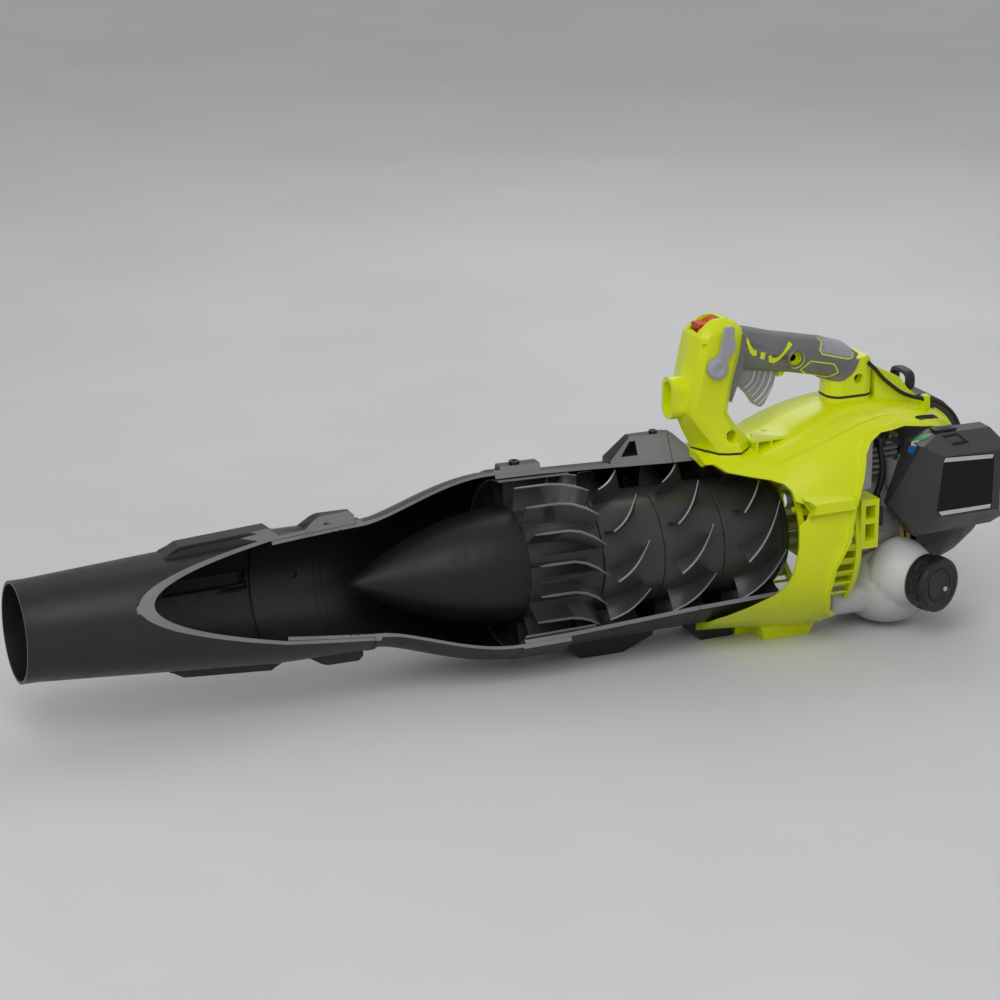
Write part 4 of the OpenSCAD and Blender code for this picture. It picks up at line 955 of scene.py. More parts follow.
@dataclass
class Surface:
    """The skins of some frame nodes, found along straight lines."""

    tree: BVHTree

    @classmethod
    def of(cls, shop: Workshop, *names: str) -> "Surface":
        """The skins of some nodes together.

        Args:
            shop: The workshop.
            *names: The nodes.

        Returns:
            Their common surface.
        """
        points, faces = [], []
        for name in names:
            mesh = shop.nodes[name].data
            start = len(points)
            points += [v.co.copy() for v in mesh.vertices]
            faces += [[start + i for i in p.vertices] for p in mesh.polygons]
        return cls(BVHTree.FromPolygons(points, faces))

    def meet(self, start: Sequence[float], way: Sequence[float]) -> Optional[tuple[Vector, Vector]]:
        """Where a line first meets the skin.

        Args:
            start: Its start in millimetres.
            way: Its direction.

        Returns:
            The point in millimetres and the outward normal, or nothing.
        """
        hit, normal, _, _ = self.tree.ray_cast(metres(start), Vector(way).normalized())
        if hit is None:
            return None
        if normal.dot(Vector(way)) > 0:
            normal = -normal
        return Vector((hit.x / MM - BACK, hit.y / MM, hit.z / MM)), normal

    def settle(self, p: Vector, normal: Vector, reach: float) -> Vector:
        """Drop a point onto the skin.

        Args:
            p: The point.
            normal: The way up from the skin.
            reach: How far off the skin may lie.

        Returns:
            The point on the skin, or the point itself where no skin is that near.
        """
        found = self.meet(p + normal * (reach + 4.0), -normal)
        return found[0] if found and (found[0] - p).length < reach else p

    def side(self, x: float, z: float, side: int) -> tuple[Vector, Vector]:
        """The skin's point beside a spot in the XZ plane, seen from one side.

        Args:
            x: Place along the axis.
            z: Height.
            side: NEAR or FAR.

        Returns:
            The point and its normal.
        """
        found = self.meet((x, side * FAR_OUT, z), (0.0, -side, 0.0))
        return found or (Vector((x, 0.0, z)), Vector((0.0, side, 0.0)))


@dataclass
class Inlay:
    """Raised or painted shapes that follow a skin."""

    skin: Surface
    side: int
    rise: float = 0.35
    depth: float = 0.7
    mesh_step: float = 2.5
    line_step: float = 1.5

    def lift(self, x: float, z: float) -> tuple[Vector, Vector]:
        """The top and the foot of a raised point.

        Args:
            x: Place along the axis.
            z: Height.

        Returns:
            The two points.
        """
        point, normal = self.skin.side(x, z, self.side)
        return point + normal * self.rise, point - normal * self.depth

    def line(self, form: Form, path: Sequence[Spot], width: float, closed: bool = False) -> Form:
        """Lay a ribbon along a path.

        Args:
            form: The form that gets it.
            path: Points in the XZ plane.
            width: Its width.
            closed: Join its ends.

        Returns:
            The form.
        """
        flat = [(x, z, 0.0) for x, z in path] + ([(*path[0], 0.0)] if closed else [])
        pts = []
        for a, b in zip(flat, flat[1:]):
            n = max(1, round((Vector(b) - Vector(a)).length / self.line_step))
            pts += [Vector(a).lerp(Vector(b), k / n) for k in range(n)]
        pts += [] if closed else [Vector(flat[-1])]
        rings = []
        for i, p in enumerate(pts):
            back = pts[i - 1] if closed or i else p
            on = pts[(i + 1) % len(pts)] if closed or i + 1 < len(pts) else p
            along = (on - back).normalized()
            left = Vector((-along.y, along.x, 0.0)) * width / 2
            (a, a0), (b, b0) = (self.lift(*(p + s * left).xy) for s in (1, -1))
            rings.append([a0, a, b, b0])
        return form.skin(rings, loop=closed)

    def patch(self, form: Form, outline: Sequence[Spot]) -> Form:
        """Lay a plate of any outline.

        Args:
            form: The form that gets it.
            outline: Points in the XZ plane.

        Returns:
            The form.
        """
        flat = bmesh.new()
        flat.faces.new([flat.verts.new((x, z, 0.0)) for x, z in outline])
        for axis, values in ((0, [p[0] for p in outline]), (1, [p[1] for p in outline])):
            cut = math.floor(min(values) / self.mesh_step) * self.mesh_step + self.mesh_step
            normal = [0.0, 0.0, 0.0]
            normal[axis] = 1.0
            while cut < max(values):
                place = [v * cut for v in normal]
                bmesh.ops.bisect_plane(flat, geom=flat.verts[:] + flat.edges[:] + flat.faces[:],
                                       plane_co=place, plane_no=normal, dist=1e-4)
                cut += self.mesh_step
        pairs = {}
        for v in flat.verts:
            top, foot = self.lift(v.co.x, v.co.y)
            pairs[v] = (form.at(top), form.at(foot))
        for f in flat.faces:
            form.bm.faces.new([pairs[v][0] for v in f.verts])
            form.bm.faces.new([pairs[v][1] for v in reversed(f.verts)])
        for e in flat.edges:
            if len(e.link_faces) == 1:
                a, b = (pairs[v] for v in e.verts)
                form.bm.faces.new((a[0], b[0], b[1], a[1]))
        flat.free()
        return form


@dataclass
class Studio:
    """Floor, lamps, world and camera."""

    azimuth: float = -22.9
    elevation: float = 18.25
    focal_px: float = 3038.0
    target: Point = (470.0, 0.0, 0.0)
    shift: Spot = (-12.8, 57.5)
    distance: float = 2803.0
    sensor: float = 36.0
    frame_px: float = 1000.0
    sight: float = 50.0
    ground: float = -97.0
    floor_gap: float = 0.2
    floor_half: float = 12.0
    sky: Point = (0.93, 0.94, 0.96)
    sky_strength: float = 0.45
    lamps: tuple[tuple[str, Point, Point, float, float], ...] = (
        ("key", (-0.4, -1.5, 1.9), (0.5, 0.0, 0.0), 2.2, 20.0),
        ("fill", (-1.6, -0.8, 0.7), (0.3, 0.0, 0.0), 1.6, 4.0),
        ("rim", (1.4, 1.3, 1.5), (0.6, 0.0, 0.0), 1.4, 8.0))

    def camera(self) -> None:
        """Place the camera."""
        a, e = math.radians(self.azimuth), math.radians(self.elevation)
        back = Vector((math.sin(a) * math.cos(e), -math.cos(a) * math.cos(e), math.sin(e)))
        right = Vector((math.cos(a), math.sin(a), 0.0))
        up = back.cross(right)
        place = (Vector(self.target) + back * self.distance + right * self.shift[0]
                 + up * self.shift[1])
        data = bpy.data.cameras.new("camera")
        data.sensor_width = self.sensor
        data.lens = self.focal_px * self.sensor / self.frame_px
        data.clip_end = self.sight
        camera = bpy.data.objects.new("camera", data)
        turn = Matrix((right, up, back)).transposed().to_4x4()
        camera.matrix_world = Matrix.Translation(place * MM) @ turn
        bpy.context.scene.collection.objects.link(camera)
        bpy.context.scene.camera = camera

    def lamp(self, name: str, place: Point, aim: Point, size: float, power: float) -> None:
        """Hang one soft lamp.

        Args:
            name: The lamp's name.
            place: Where it hangs, in metres.
            aim: The point that it faces.
            size: Its width in metres.
            power: Its power in watts.
        """
        data = bpy.data.lights.new(name, "AREA")
        data.shape = "DISK"
        data.size = size
        data.energy = power
        lamp = bpy.data.objects.new(name, data)
        lamp.location = place
        lamp.rotation_euler = (Vector(aim) - Vector(place)).to_track_quat("-Z", "Y").to_euler()
        bpy.context.scene.collection.objects.link(lamp)

    def floor(self) -> None:
        """Lay the pale floor."""
        s = self.floor_half
        z = (self.ground - self.floor_gap) * MM
        mesh = bpy.data.meshes.new("floor")
        mesh.from_pydata([(-s, -s, z), (s, -s, z), (s, s, z), (-s, s, z)], [], [(0, 1, 2, 3)])
        b = ShaderBench("floor_paper")
        cloud = b.between(b.noise(3.0, 3.0), 0.2, 0.8)
        bounced = b.blend(cloud, (0.42, 0.42, 0.43), (0.46, 0.46, 0.47))
        seen = b.blend(cloud, (0.70, 0.70, 0.71), (0.75, 0.75, 0.76))
        rays = b.add("LightPath").outputs
        shown = bounced
        for ray in ("Is Camera Ray", "Is Glossy Ray", "Is Transmission Ray"):
            shown = b.blend(rays[ray], shown, seen)
        b.set(Base_Color=shown, Roughness=0.8)
        mesh.materials.append(b.material)
        floor = bpy.data.objects.new("floor", mesh)
        bpy.context.scene.collection.objects.link(floor)

    def build(self) -> None:
        """Set up the whole studio."""
        scene = bpy.context.scene
        scene.view_settings.view_transform = "Standard"
        world = bpy.data.worlds.new("world")
        world.use_nodes = True
        background = world.node_tree.nodes["Background"]
        background.inputs["Color"].default_value = (*self.sky, 1.0)
        background.inputs["Strength"].default_value = self.sky_strength
        scene.world = world
        self.camera()
        self.floor()
        for lamp in self.lamps:
            self.lamp(*lamp)


@dataclass
class AirTubes:
    """Nozzle, diffuser, duct and intake ring, all cut open by one long window."""

    edge: float = 0.5
    nodes: str = "nozzle diffuser fan_duct intake_ring"
    start: float = 98.0
    joint: float = 316.0
    end: float = 722.5
    tip: float = 51.28
    front: float = 24.0
    rear: float = 41.0
    curve: float = 0.9
    near: float = 0.5

    def window(self, x: float) -> float:
        """How far from the axis the window cuts at a place along the tubes.

        Args:
            x: The place.

        Returns:
            The distance.
        """
        t = (x - self.start) / (self.joint - self.start)
        if t < 1:
            return self.front + (self.tip - self.front) * (1 - max(0.0, t)) ** self.curve
        return self.front + (self.rear - self.front) * (x - self.joint) / (self.end - self.joint)

    def mark_cut(self, shop: Workshop, thing: bpy.types.Object) -> None:
        """Paint the faces that lie in the window's cut pale grey, a painted highlight along the cut
        edge.

        Args:
            shop: The workshop.
            thing: The tube.
        """
        mesh = thing.data
        mesh.materials.append(shop.material(CUT_HIGHLIGHT))
        off = [abs(v.co.dot(WINDOW) / MM - self.window(v.co.x / MM)) for v in mesh.vertices]
        for face in mesh.polygons:
            if face.normal.dot(WINDOW) > 0.8 and all(off[i] < self.near for i in face.vertices):
                face.material_index = 1

    def build(self, shop: Workshop) -> None:
        """Dress the tubes and their screws.

        Args:
            shop: The workshop.
        """
        for node in self.nodes.split():
            self.mark_cut(shop, shop.from_node(node, self.edge, 28.0))
        shop.dress("tail_cone", sharp=28.0)
        shop.dress("duct_screws", 0.4)


@dataclass
class FanStage:
    """One stage of the axial fan: a hub cup with a ring of thin swept blades."""

    number: int
    chord: float
    twist: float
    first: float
    ahead: float
    start: float = 537.5
    pitch: float = 61.5
    length: float = 61.0
    hub: float = 55.0
    tip: float = 75.0
    bore: float = 8.0
    blades: int = 10
    thick: float = 1.5
    rooted: float = 1.0
    lip: float = 0.8
    wall: float = 3.0
    boss: float = 8.0
    web: Spot = (4.0, 8.0)
    across: int = 6
    along: int = 12

    @property
    def low(self) -> float:
        """Where the hub starts along the axis."""
        return self.start + (self.number - 1) * self.pitch

    def spot(self, r: float, t: float, side: float) -> Point:
        """A point of the first blade's skin.

        Args:
            r: Its radius.
            t: Its place along the chord, from 0 to 1.
            side: Which face, -1 or 1.

        Returns:
            The point.
        """
        u = (r - self.hub) / (self.tip - self.hub)
        share = 0.62 + 0.38 * u
        bow = 6.0 - 2.0 * u
        mid = self.low + self.length / 2 - self.ahead
        x = mid + self.chord * (1.0 - 0.08 * u) * (t - 0.5)
        angle = self.twist * share * (0.5 - t) + bow * math.sin(math.pi * t)
        half = self.thick * (0.22 + 0.28 * math.sin(math.pi * min(1.0, 0.12 + 0.88 * t)))
        slope = math.radians(self.twist * share) * r / self.chord
        lean = math.hypot(1.0, slope)
        turn = math.radians(angle) + side * half / (lean * r)
        return (x + side * half * slope / lean, -r * math.sin(turn), r * math.cos(turn))

    def blade(self) -> bpy.types.Mesh:
        """The first blade, rooted a little under the hub.

        Returns:
            Its closed twisted skin.
        """
        root = self.hub - self.rooted
        rings = []
        for j in range(self.across + 1):
            r = root + (self.tip - root) * j / self.across
            front = [self.spot(r, k / self.along, -1) for k in range(self.along + 1)]
            back = [self.spot(r, k / self.along, 1) for k in range(self.along, -1, -1)]
            rings.append(front + back)
        return Form(0.0).skin(rings).mesh("blade")

    def cup(self) -> bpy.types.Mesh:
        """The hub: a cup with a web and a boss on the shaft.

        Returns:
            Its closed skin.
        """
        r, lip, wall, boss = self.hub, self.lip, self.hub - self.wall, self.bore + self.boss
        x0, x1 = self.low, self.low + self.length
        a, b = (x0 + x for x in self.web)
        profile = [(wall, x0), (r - lip, x0), (r, x0 + lip), (r, x1 - lip), (r - lip, x1),
                   (wall, x1), (wall, b), (boss, b), (boss, x1), (self.bore, x1),
                   (self.bore, x0), (boss, x0), (boss, a), (wall, a), (wall, x0)]
        return Form(0.0).turned(profile, (0, 0, 0), (1, 0, 0), 72).mesh("cup")

    def build(self, shop: Workshop, copies: bpy.types.NodeTree) -> None:
        """Make the stage's hub and blades as one piece.

        Args:
            shop: The workshop.
            copies: The tree that repeats the blade.
        """
        name = f"fan_stage_{self.number}"
        ring = shop.repeated(self.blade(), copies, FAN, Count=self.blades,
                             Turn=(math.tau / self.blades, 0.0, 0.0),
                             First=(math.radians(self.first), 0.0, 0.0))
        shop.piece(name + "_skin", joined(name + "_skin", ring, self.cup()), FAN, Body.ROTOR,
                   (name,), 40.0)


@dataclass
class Rotor:
    """The whole fan on its shaft."""

    stages: tuple[FanStage, ...] = (
        FanStage(1, 36.0, 27.0, 44.0, 9.0), FanStage(2, 38.0, 33.0, 42.0, 5.0),
        FanStage(3, 42.0, 42.0, 72.0, -4.0))

    def build(self, shop: Workshop, copies: bpy.types.NodeTree) -> None:
        """Make the stages and dress the shaft, nut, spinner and stator.

        Args:
            shop: The workshop.
            copies: The tree that repeats the blades.
        """
        for stage in self.stages:
            stage.build(shop, copies)
        shop.dress("fan_spinner drive_shaft fan_nut stator_bearing stator")


@dataclass
class Housing:
    """The lime shells with their guard, engine plate and the bare dark plate on the tail."""

    edge: float = 0.7
    tail: tuple[Point, ...] = ((142.1, -43.2, 106.1), (170.0, -30.3, 101.0), (174.9, -31.6, 97.4),
                                (144.3, -48.9, 104.2))

    def build(self, shop: Workshop) -> None:
        """Dress the shells and lay the tail's plate.

        Args:
            shop: The workshop.
        """
        shop.dress("housing_left housing_right", self.edge, 24.0)
        shop.dress("intake_guard engine_plate cable_clip", 0.3)
        skin = Surface.of(shop, "housing_left", "housing_right")
        form = Form().sheet(self.tail, skin, 0.6, 1.2, (10, 4))
        shop.piece("tail_plate", form.mesh("tail_plate"), PLATE, Body.MAIN)


@dataclass
class Handle:
    """The two handle halves on their seals."""

    edge: float = 0.9

    def build(self, shop: Workshop) -> None:
        """Dress the halves, seals and screws.

        Args:
            shop: The workshop.
        """
        shop.dress("handle_left handle_right", self.edge, 24.0)
        shop.dress("front_seal rear_seal", 0.5)
        shop.dress("handle_screws trigger_pin")


@dataclass
class Grip:
    """Soft rubber with lime inlays, a studded panel and outlined fields on both sides."""

    line_width: float = 1.1
    stud_pitch: float = 2.1
    slash: tuple[Spot, ...] = ((-25.4, 197.0), (-23.2, 192.2), (-21.6, 187.3), (-18.7, 182.6),
                               (-15.4, 181.5), (-15.0, 177.0), (-18.8, 176.3), (-22.4, 180.2),
                               (-24.4, 186.0), (-25.7, 190.7), (-26.4, 196.0))
    bar: tuple[Spot, ...] = ((-10.6, 179.6), (-6.0, 178.2), (-7.2, 171.7), (-11.6, 173.3))
    hook: tuple[Spot, ...] = ((-2.8, 174.8), (-1.7, 168.7), (3.4, 166.9), (8.9, 170.0),
                              (15.7, 176.4), (23.4, 182.6), (20.0, 185.4), (16.0, 181.0),
                              (11.6, 175.6), (6.6, 172.2), (1.1, 172.4), (0.2, 175.3))
    eye: Spot = (27.0, 168.2)
    eye_r: Spot = (7.15, 7.5)
    eye_width: float = 2.5
    field_top: tuple[Spot, ...] = ((54.6, 183.6), (56.3, 181.0), (51.8, 174.4), (54.4, 170.1),
                                   (68.1, 166.3), (82.9, 162.2), (87.1, 162.4), (91.0, 166.4))
    field_low: tuple[Spot, ...] = ((33.2, 157.0), (42.3, 164.9), (67.3, 159.4), (72.6, 150.6),
                                   (64.3, 145.2), (53.4, 147.4), (42.0, 150.6))
    bed: tuple[Spot, ...] = ((54.6, 183.0), (56.3, 181.0), (51.8, 174.4), (54.4, 170.1),
                             (68.1, 166.3), (82.9, 162.2), (87.1, 162.4), (90.6, 166.4),
                             (90.2, 169.0), (88.0, 171.0), (84.0, 173.6), (80.0, 175.6),
                             (72.0, 178.2), (64.0, 180.6), (56.5, 182.6))
    cuff: tuple[Spot, ...] = ((57.5, 144.0), (60.0, 142.8), (67.7, 141.6), (74.2, 141.5),
                              (79.5, 142.9), (85.8, 146.7), (89.4, 150.7), (91.9, 154.8),
                              (93.6, 159.3), (93.8, 161.2), (91.0, 162.6), (86.0, 160.0),
                              (80.0, 156.2), (74.6, 151.2), (68.0, 145.4), (62.0, 143.9))
    studs_x: Spot = (54.0, 89.0)
    core: float = 165.0
    reach: float = 17.0
    stud_rows: int = 14
    stud_r: float = 0.72
    stud_h: float = 0.9

    def inlays(self, skin: Surface, side: int) -> bpy.types.Mesh:
        """The lime inlays of one side.

        Args:
            skin: The rubber.
            side: NEAR or FAR.

        Returns:
            Their mesh.
        """
        form = Form()
        lay = Inlay(skin, side)
        for outline in (self.slash, self.bar, self.hook):
            lay.patch(form, outline)
        lay.line(form, self.field_top, self.line_width)
        lay.line(form, self.field_low, self.line_width, closed=True)
        eye = [(self.eye[0] + self.eye_r[0] * c, self.eye[1] + self.eye_r[1] * s)
               for c, s in circle(32)]
        Inlay(skin, side, 1.1, 0.7).line(form, eye, self.eye_width, closed=True)
        return form.mesh("grip_inlays")

    def inside(self, x: float, z: float) -> bool:
        """Whether a spot lies inside the studded field, whose edges slant.

        Args:
            x: Place along the axis.
            z: Height.

        Returns:
            Whether it does.
        """
        left = 53.6 if z < 175.0 else 57.8
        right = 90.0 - max(0.0, z - 166.0) * 0.4
        floor = 168.6 + (68.1 - x) * 0.28
        return left < x < right and z > floor

    def studs(self, shop: Workshop, skin: Surface, side: int,
              tree: bpy.types.NodeTree) -> bpy.types.Mesh:
        """The small studs in the upper field of one side.

        Args:
            shop: The workshop.
            skin: The rubber.
            side: NEAR or FAR.
            tree: The tree that stands a stud on every point.

        Returns:
            Their mesh.
        """
        bm = bmesh.new()
        x = self.studs_x[0]
        row = 0
        normals = []
        while x < self.studs_x[1]:
            for k in range(self.stud_rows):
                a = (k + 0.25 + row % 2 / 2) * self.stud_pitch / self.reach
                way = Vector((0.0, side * math.sin(a), math.cos(a)))
                found = skin.meet(Vector((x, 0.0, self.core)) + way * 60.0, -way)
                if found and self.inside(found[0].x, found[0].z):
                    bm.verts.new(metres(found[0]))
                    normals.append(found[1])
            x += self.stud_pitch * 0.87
            row += 1
        mesh = bpy.data.meshes.new("stud places")
        bm.to_mesh(mesh)
        bm.free()
        mesh.attributes.new("facing", "FLOAT_VECTOR", "POINT").data.foreach_set(
            "vector", [c for n in normals for c in n])
        return shop.repeated(mesh, tree, STUD, Radius=self.stud_r * MM, Height=self.stud_h * MM,
                             Sides=6)

    def build(self, shop: Workshop, studs: bpy.types.NodeTree) -> None:
        """Dress the rubber and lay its inlays, studs and cuff.

        Args:
            shop: The workshop.
            studs: The tree that stands a stud on every point.
        """
        skin = Surface.of(shop, "grip_rubber")
        post = Surface.of(shop, "handle_left", "handle_right", "grip_rubber")
        shop.dress("grip_rubber", sharp=40.0)
        for side, word in ((NEAR, "near"), (FAR, "far")):
            bed = Inlay(skin, side, 0.2, 0.6).patch(Form(), self.bed)
            shop.piece(f"stud_bed_{word}", bed.mesh("stud_bed"), STUD_BED, Body.MAIN)
            cuff = Inlay(post, side, 0.9, 0.6, 1.5).patch(Form(), self.cuff)
            shop.piece(f"grip_cuff_{word}", cuff.mesh("grip_cuff"), GRIP, Body.MAIN)
            shop.piece(f"grip_inlays_{word}", self.inlays(skin, side), LIME, Body.MAIN)
            shop.piece(f"grip_studs_{word}", self.studs(shop, skin, side, studs), STUD, Body.MAIN)


@dataclass
class Controls:
    """Trigger, cruise lever, stop rocker and cable."""

    post_side: float = -24.0
    lever_at: Spot = (-60.5, 171.6)
    lever_r: float = 10.2
    lever_gap: float = 0.4
    lever_thick: float = 7.5
    arm_thick: float = 5.0
    arm: tuple[Spot, ...] = ((-61.0, 181.0), (-57.5, 188.0), (-55.6, 198.0), (-54.4, 207.5),
                             (-52.4, 210.2), (-47.0, 210.8), (-44.6, 208.8), (-45.0, 199.0),
                             (-43.4, 195.0), (-43.0, 189.5), (-46.2, 184.4), (-49.6, 180.6),
                             (-52.0, 178.0))
    trigger_eye: Spot = (-27.0, 158.0)
    rib_radii: tuple[float, ...] = (15.6, 21.6, 27.6, 33.4, 38.4)
    rib_arc: Spot = (-88.0, 4.0)
    rib_width: float = 1.5
    flank: float = 5.1
    rocker: tuple[Spot, ...] = ((-10.0, -3.6), (0.0, -6.0), (12.0, -3.0), (12.2, 3.4), (9.5, 4.2),
                                (3.0, 2.8), (0.5, 2.0), (-2.5, 2.8), (-7.8, 4.4), (-10.0, 3.2))
    rocker_at: Spot = (-61.0, 207.0)
    rocker_turn: float = -12.0
    rocker_half: float = 8.0
    cable: tuple[Point, ...] = (
        (104, -17, 157), (112, -18.5, 149), (120, -19, 140), (132, -19, 130), (142, -19, 123),
        (154, -20, 118), (166, -21, 115), (176, -23, 112), (186, -26, 106), (193, -30, 98),
        (196, -35, 88), (194, -40, 78), (186, -44, 72), (176, -46, 70), (164, -46, 70),
        (152, -46, 70))
    cable_r: float = 2.0

    def trigger(self, shop: Workshop) -> None:
        """The trigger with raised pale ribs on both faces.

        Args:
            shop: The workshop.
        """
        shop.dress("trigger", 0.6)
        low, high = (math.radians(a) for a in self.rib_arc)
        steps = 24
        skin = Surface.of(shop, "trigger")
        form = Form()
        for side in (NEAR, FAR):
            lay = Inlay(skin, side, 0.5, 1.2)
            for r in self.rib_radii:
                arc = []
                for k in range(steps + 1):
                    a = low + (high - low) * k / steps
                    x = self.trigger_eye[0] + r * math.cos(a)
                    z = self.trigger_eye[1] + r * math.sin(a)
                    if abs(skin.side(x, z, side)[0].y) > self.flank:
                        arc.append((x, z))
                if len(arc) > 3:
                    lay.line(form, arc, self.rib_width)
        shop.piece("trigger_ribs", form.mesh("trigger_ribs"), TRIGGER_RIB, Body.TRIGGER)

    def lever(self, shop: Workshop) -> None:
        """The cruise lever: a dished hub with a swelling arm.

        Args:
            shop: The workshop.
        """
        y1 = self.post_side - self.lever_gap
        (x, z), r, thick, across = self.lever_at, self.lever_r, self.lever_thick, (0.0, 1.0, 0.0)
        hub = Form().turned([(0.0, 0.9), (3.0, 0.9), (3.4, 0.3), (4.4, 0.0), (r - 2.2, 0.0),
                             (r - 0.7, 0.7), (r, 2.0), (r, thick), (0.0, thick)],
                            (x, y1 - thick, z), across)
        hub.turned([(0.0, 0.0), (2.6, 0.0), (2.6, 11.0), (0.0, 11.0)], (x, y1 - 0.1, z), across, 24)
        hub.prism(self.arm, 1, y1 - self.arm_thick, y1 - 0.2)
        lever = shop.piece("cruise_lever_skin", hub.mesh("cruise_lever_skin"), LEVER, Body.CRUISE,
                           ("cruise_lever",), 30.0)
        shop.soften(lever, 0.8, 3)

    def stop(self, shop: Workshop) -> None:
        """The red rocker with its dished top.

        Args:
            shop: The workshop.
        """
        turn = math.radians(self.rocker_turn)
        c, s = math.cos(turn), math.sin(turn)
        outline = [(self.rocker_at[0] + x * c + z * s, self.rocker_at[1] - x * s + z * c)
                   for x, z in self.rocker]
        form = Form().prism(outline, 1, -self.rocker_half, self.rocker_half)
        rocker = shop.piece("stop_switch_skin", form.mesh("stop_switch_skin"), RED, Body.STOP,
                            ("stop_switch",), 25.0)
        shop.soften(rocker, 0.7, 3)

    def throttle_cable(self, shop: Workshop) -> None:
        """The throttle cable on its curve from the handle to the carburettor.

        Args:
            shop: The workshop.
        """
        line = smooth_path(self.cable, 2.5)
        mesh = Form().hose(line, self.cable_r, 16).mesh("throttle_cable_skin")
        cable = shop.piece("throttle_cable_skin", mesh, CORD, Body.MAIN, ("throttle_cable",))

    def build(self, shop: Workshop) -> None:
        """Make the controls, apart from the cable.

        Args:
            shop: The workshop.
        """
        self.trigger(shop)
        self.lever(shop)
        self.stop(shop)


@dataclass
class FilterBox:
    """Air filter: cover with its bare panel, latch window and bands, and what lies under it."""

    front: float = -104.0
    panel: tuple[Spot, ...] = ((139.4, 83.9), (193.5, 81.4), (193.3, 30.0), (190.9, 27.0),
                               (138.4, 26.0), (134.2, 30.7))
    bands: tuple[tuple[Spot, ...], ...] = (
        ((140.2, 83.0), (192.6, 80.6), (191.6, 76.8), (138.6, 79.0)),
        ((135.6, 30.7), (192.4, 31.3), (191.2, 27.6), (138.8, 26.6)))
    latch: tuple[Point, ...] = (
        (150.3, -79.3, 96.4), (168.0, -78.4, 96.8), (173.3, -91.1, 90.4), (155.3, -92.5, 89.7),
        (155.6, -89.6, 91.2), (169.4, -88.6, 91.8), (166.0, -81.0, 95.5), (151.5, -81.9, 95.1))
    latch_tab: tuple[Point, ...] = ((152.6, -83.2, 94.4), (165.4, -82.2, 94.9),
                                    (168.2, -87.6, 92.3), (155.3, -88.6, 91.8))
    green: tuple[Point, ...] = ((128.9, -65.3, 92.5), (136.1, -63.8, 94.5), (145.7, -71.6, 97.2),
                                (138.2, -75.5, 95.1), (132.0, -75.4, 93.4), (124.8, -71.0, 91.4))
    white: tuple[Point, ...] = ((123.8, -69.6, 91.1), (129.7, -73.3, 92.7), (123.0, -80.4, 89.4),
                                (122.4, -70.9, 87.5))
    blue: tuple[Point, ...] = ((122.1, -68.3, 86.8), (122.9, -80.6, 89.1), (120.5, -79.1, 81.9),
                               (120.4, -68.7, 81.4))

    def flat(self, outline: Sequence[Spot], rise: float) -> bpy.types.Mesh:
        """A thin plate on the cover's front face, raised by some millimetres."""
        return Form().prism(outline, 1, self.front - rise, self.front + 0.3).mesh("plate")

    def build(self, shop: Workshop) -> None:
        """Dress the filter and lay its plates.

        Args:
            shop: The workshop.
        """
        shop.dress("filter_cover", 0.8, 24.0)
        shop.dress("filter_base filter_element cover_latch choke_lever", 0.3)
        shop.piece("cover_panel", self.flat(self.panel, 0.25), PLATE, Body.LID)
        for word, band in zip(("top", "bottom"), self.bands):
            shop.piece(f"panel_band_{word}", self.flat(band, 0.4), BAND_WHITE, Body.LID)
        skin = Surface.of(shop, "filter_cover")
        for word, outline, finish in (("latch_border", self.latch, PLATE),
                                      ("latch_tab", self.latch_tab, COVER),
                                      ("band_green", self.green, BAND_GREEN),
                                      ("band_white", self.white, BAND_WHITE),
                                      ("band_blue", self.blue, BAND_BLUE)):
            mesh = Form().plate(outline, skin, 0.3, 0.5).mesh(word)
            shop.piece(word, mesh, finish, Body.LID)


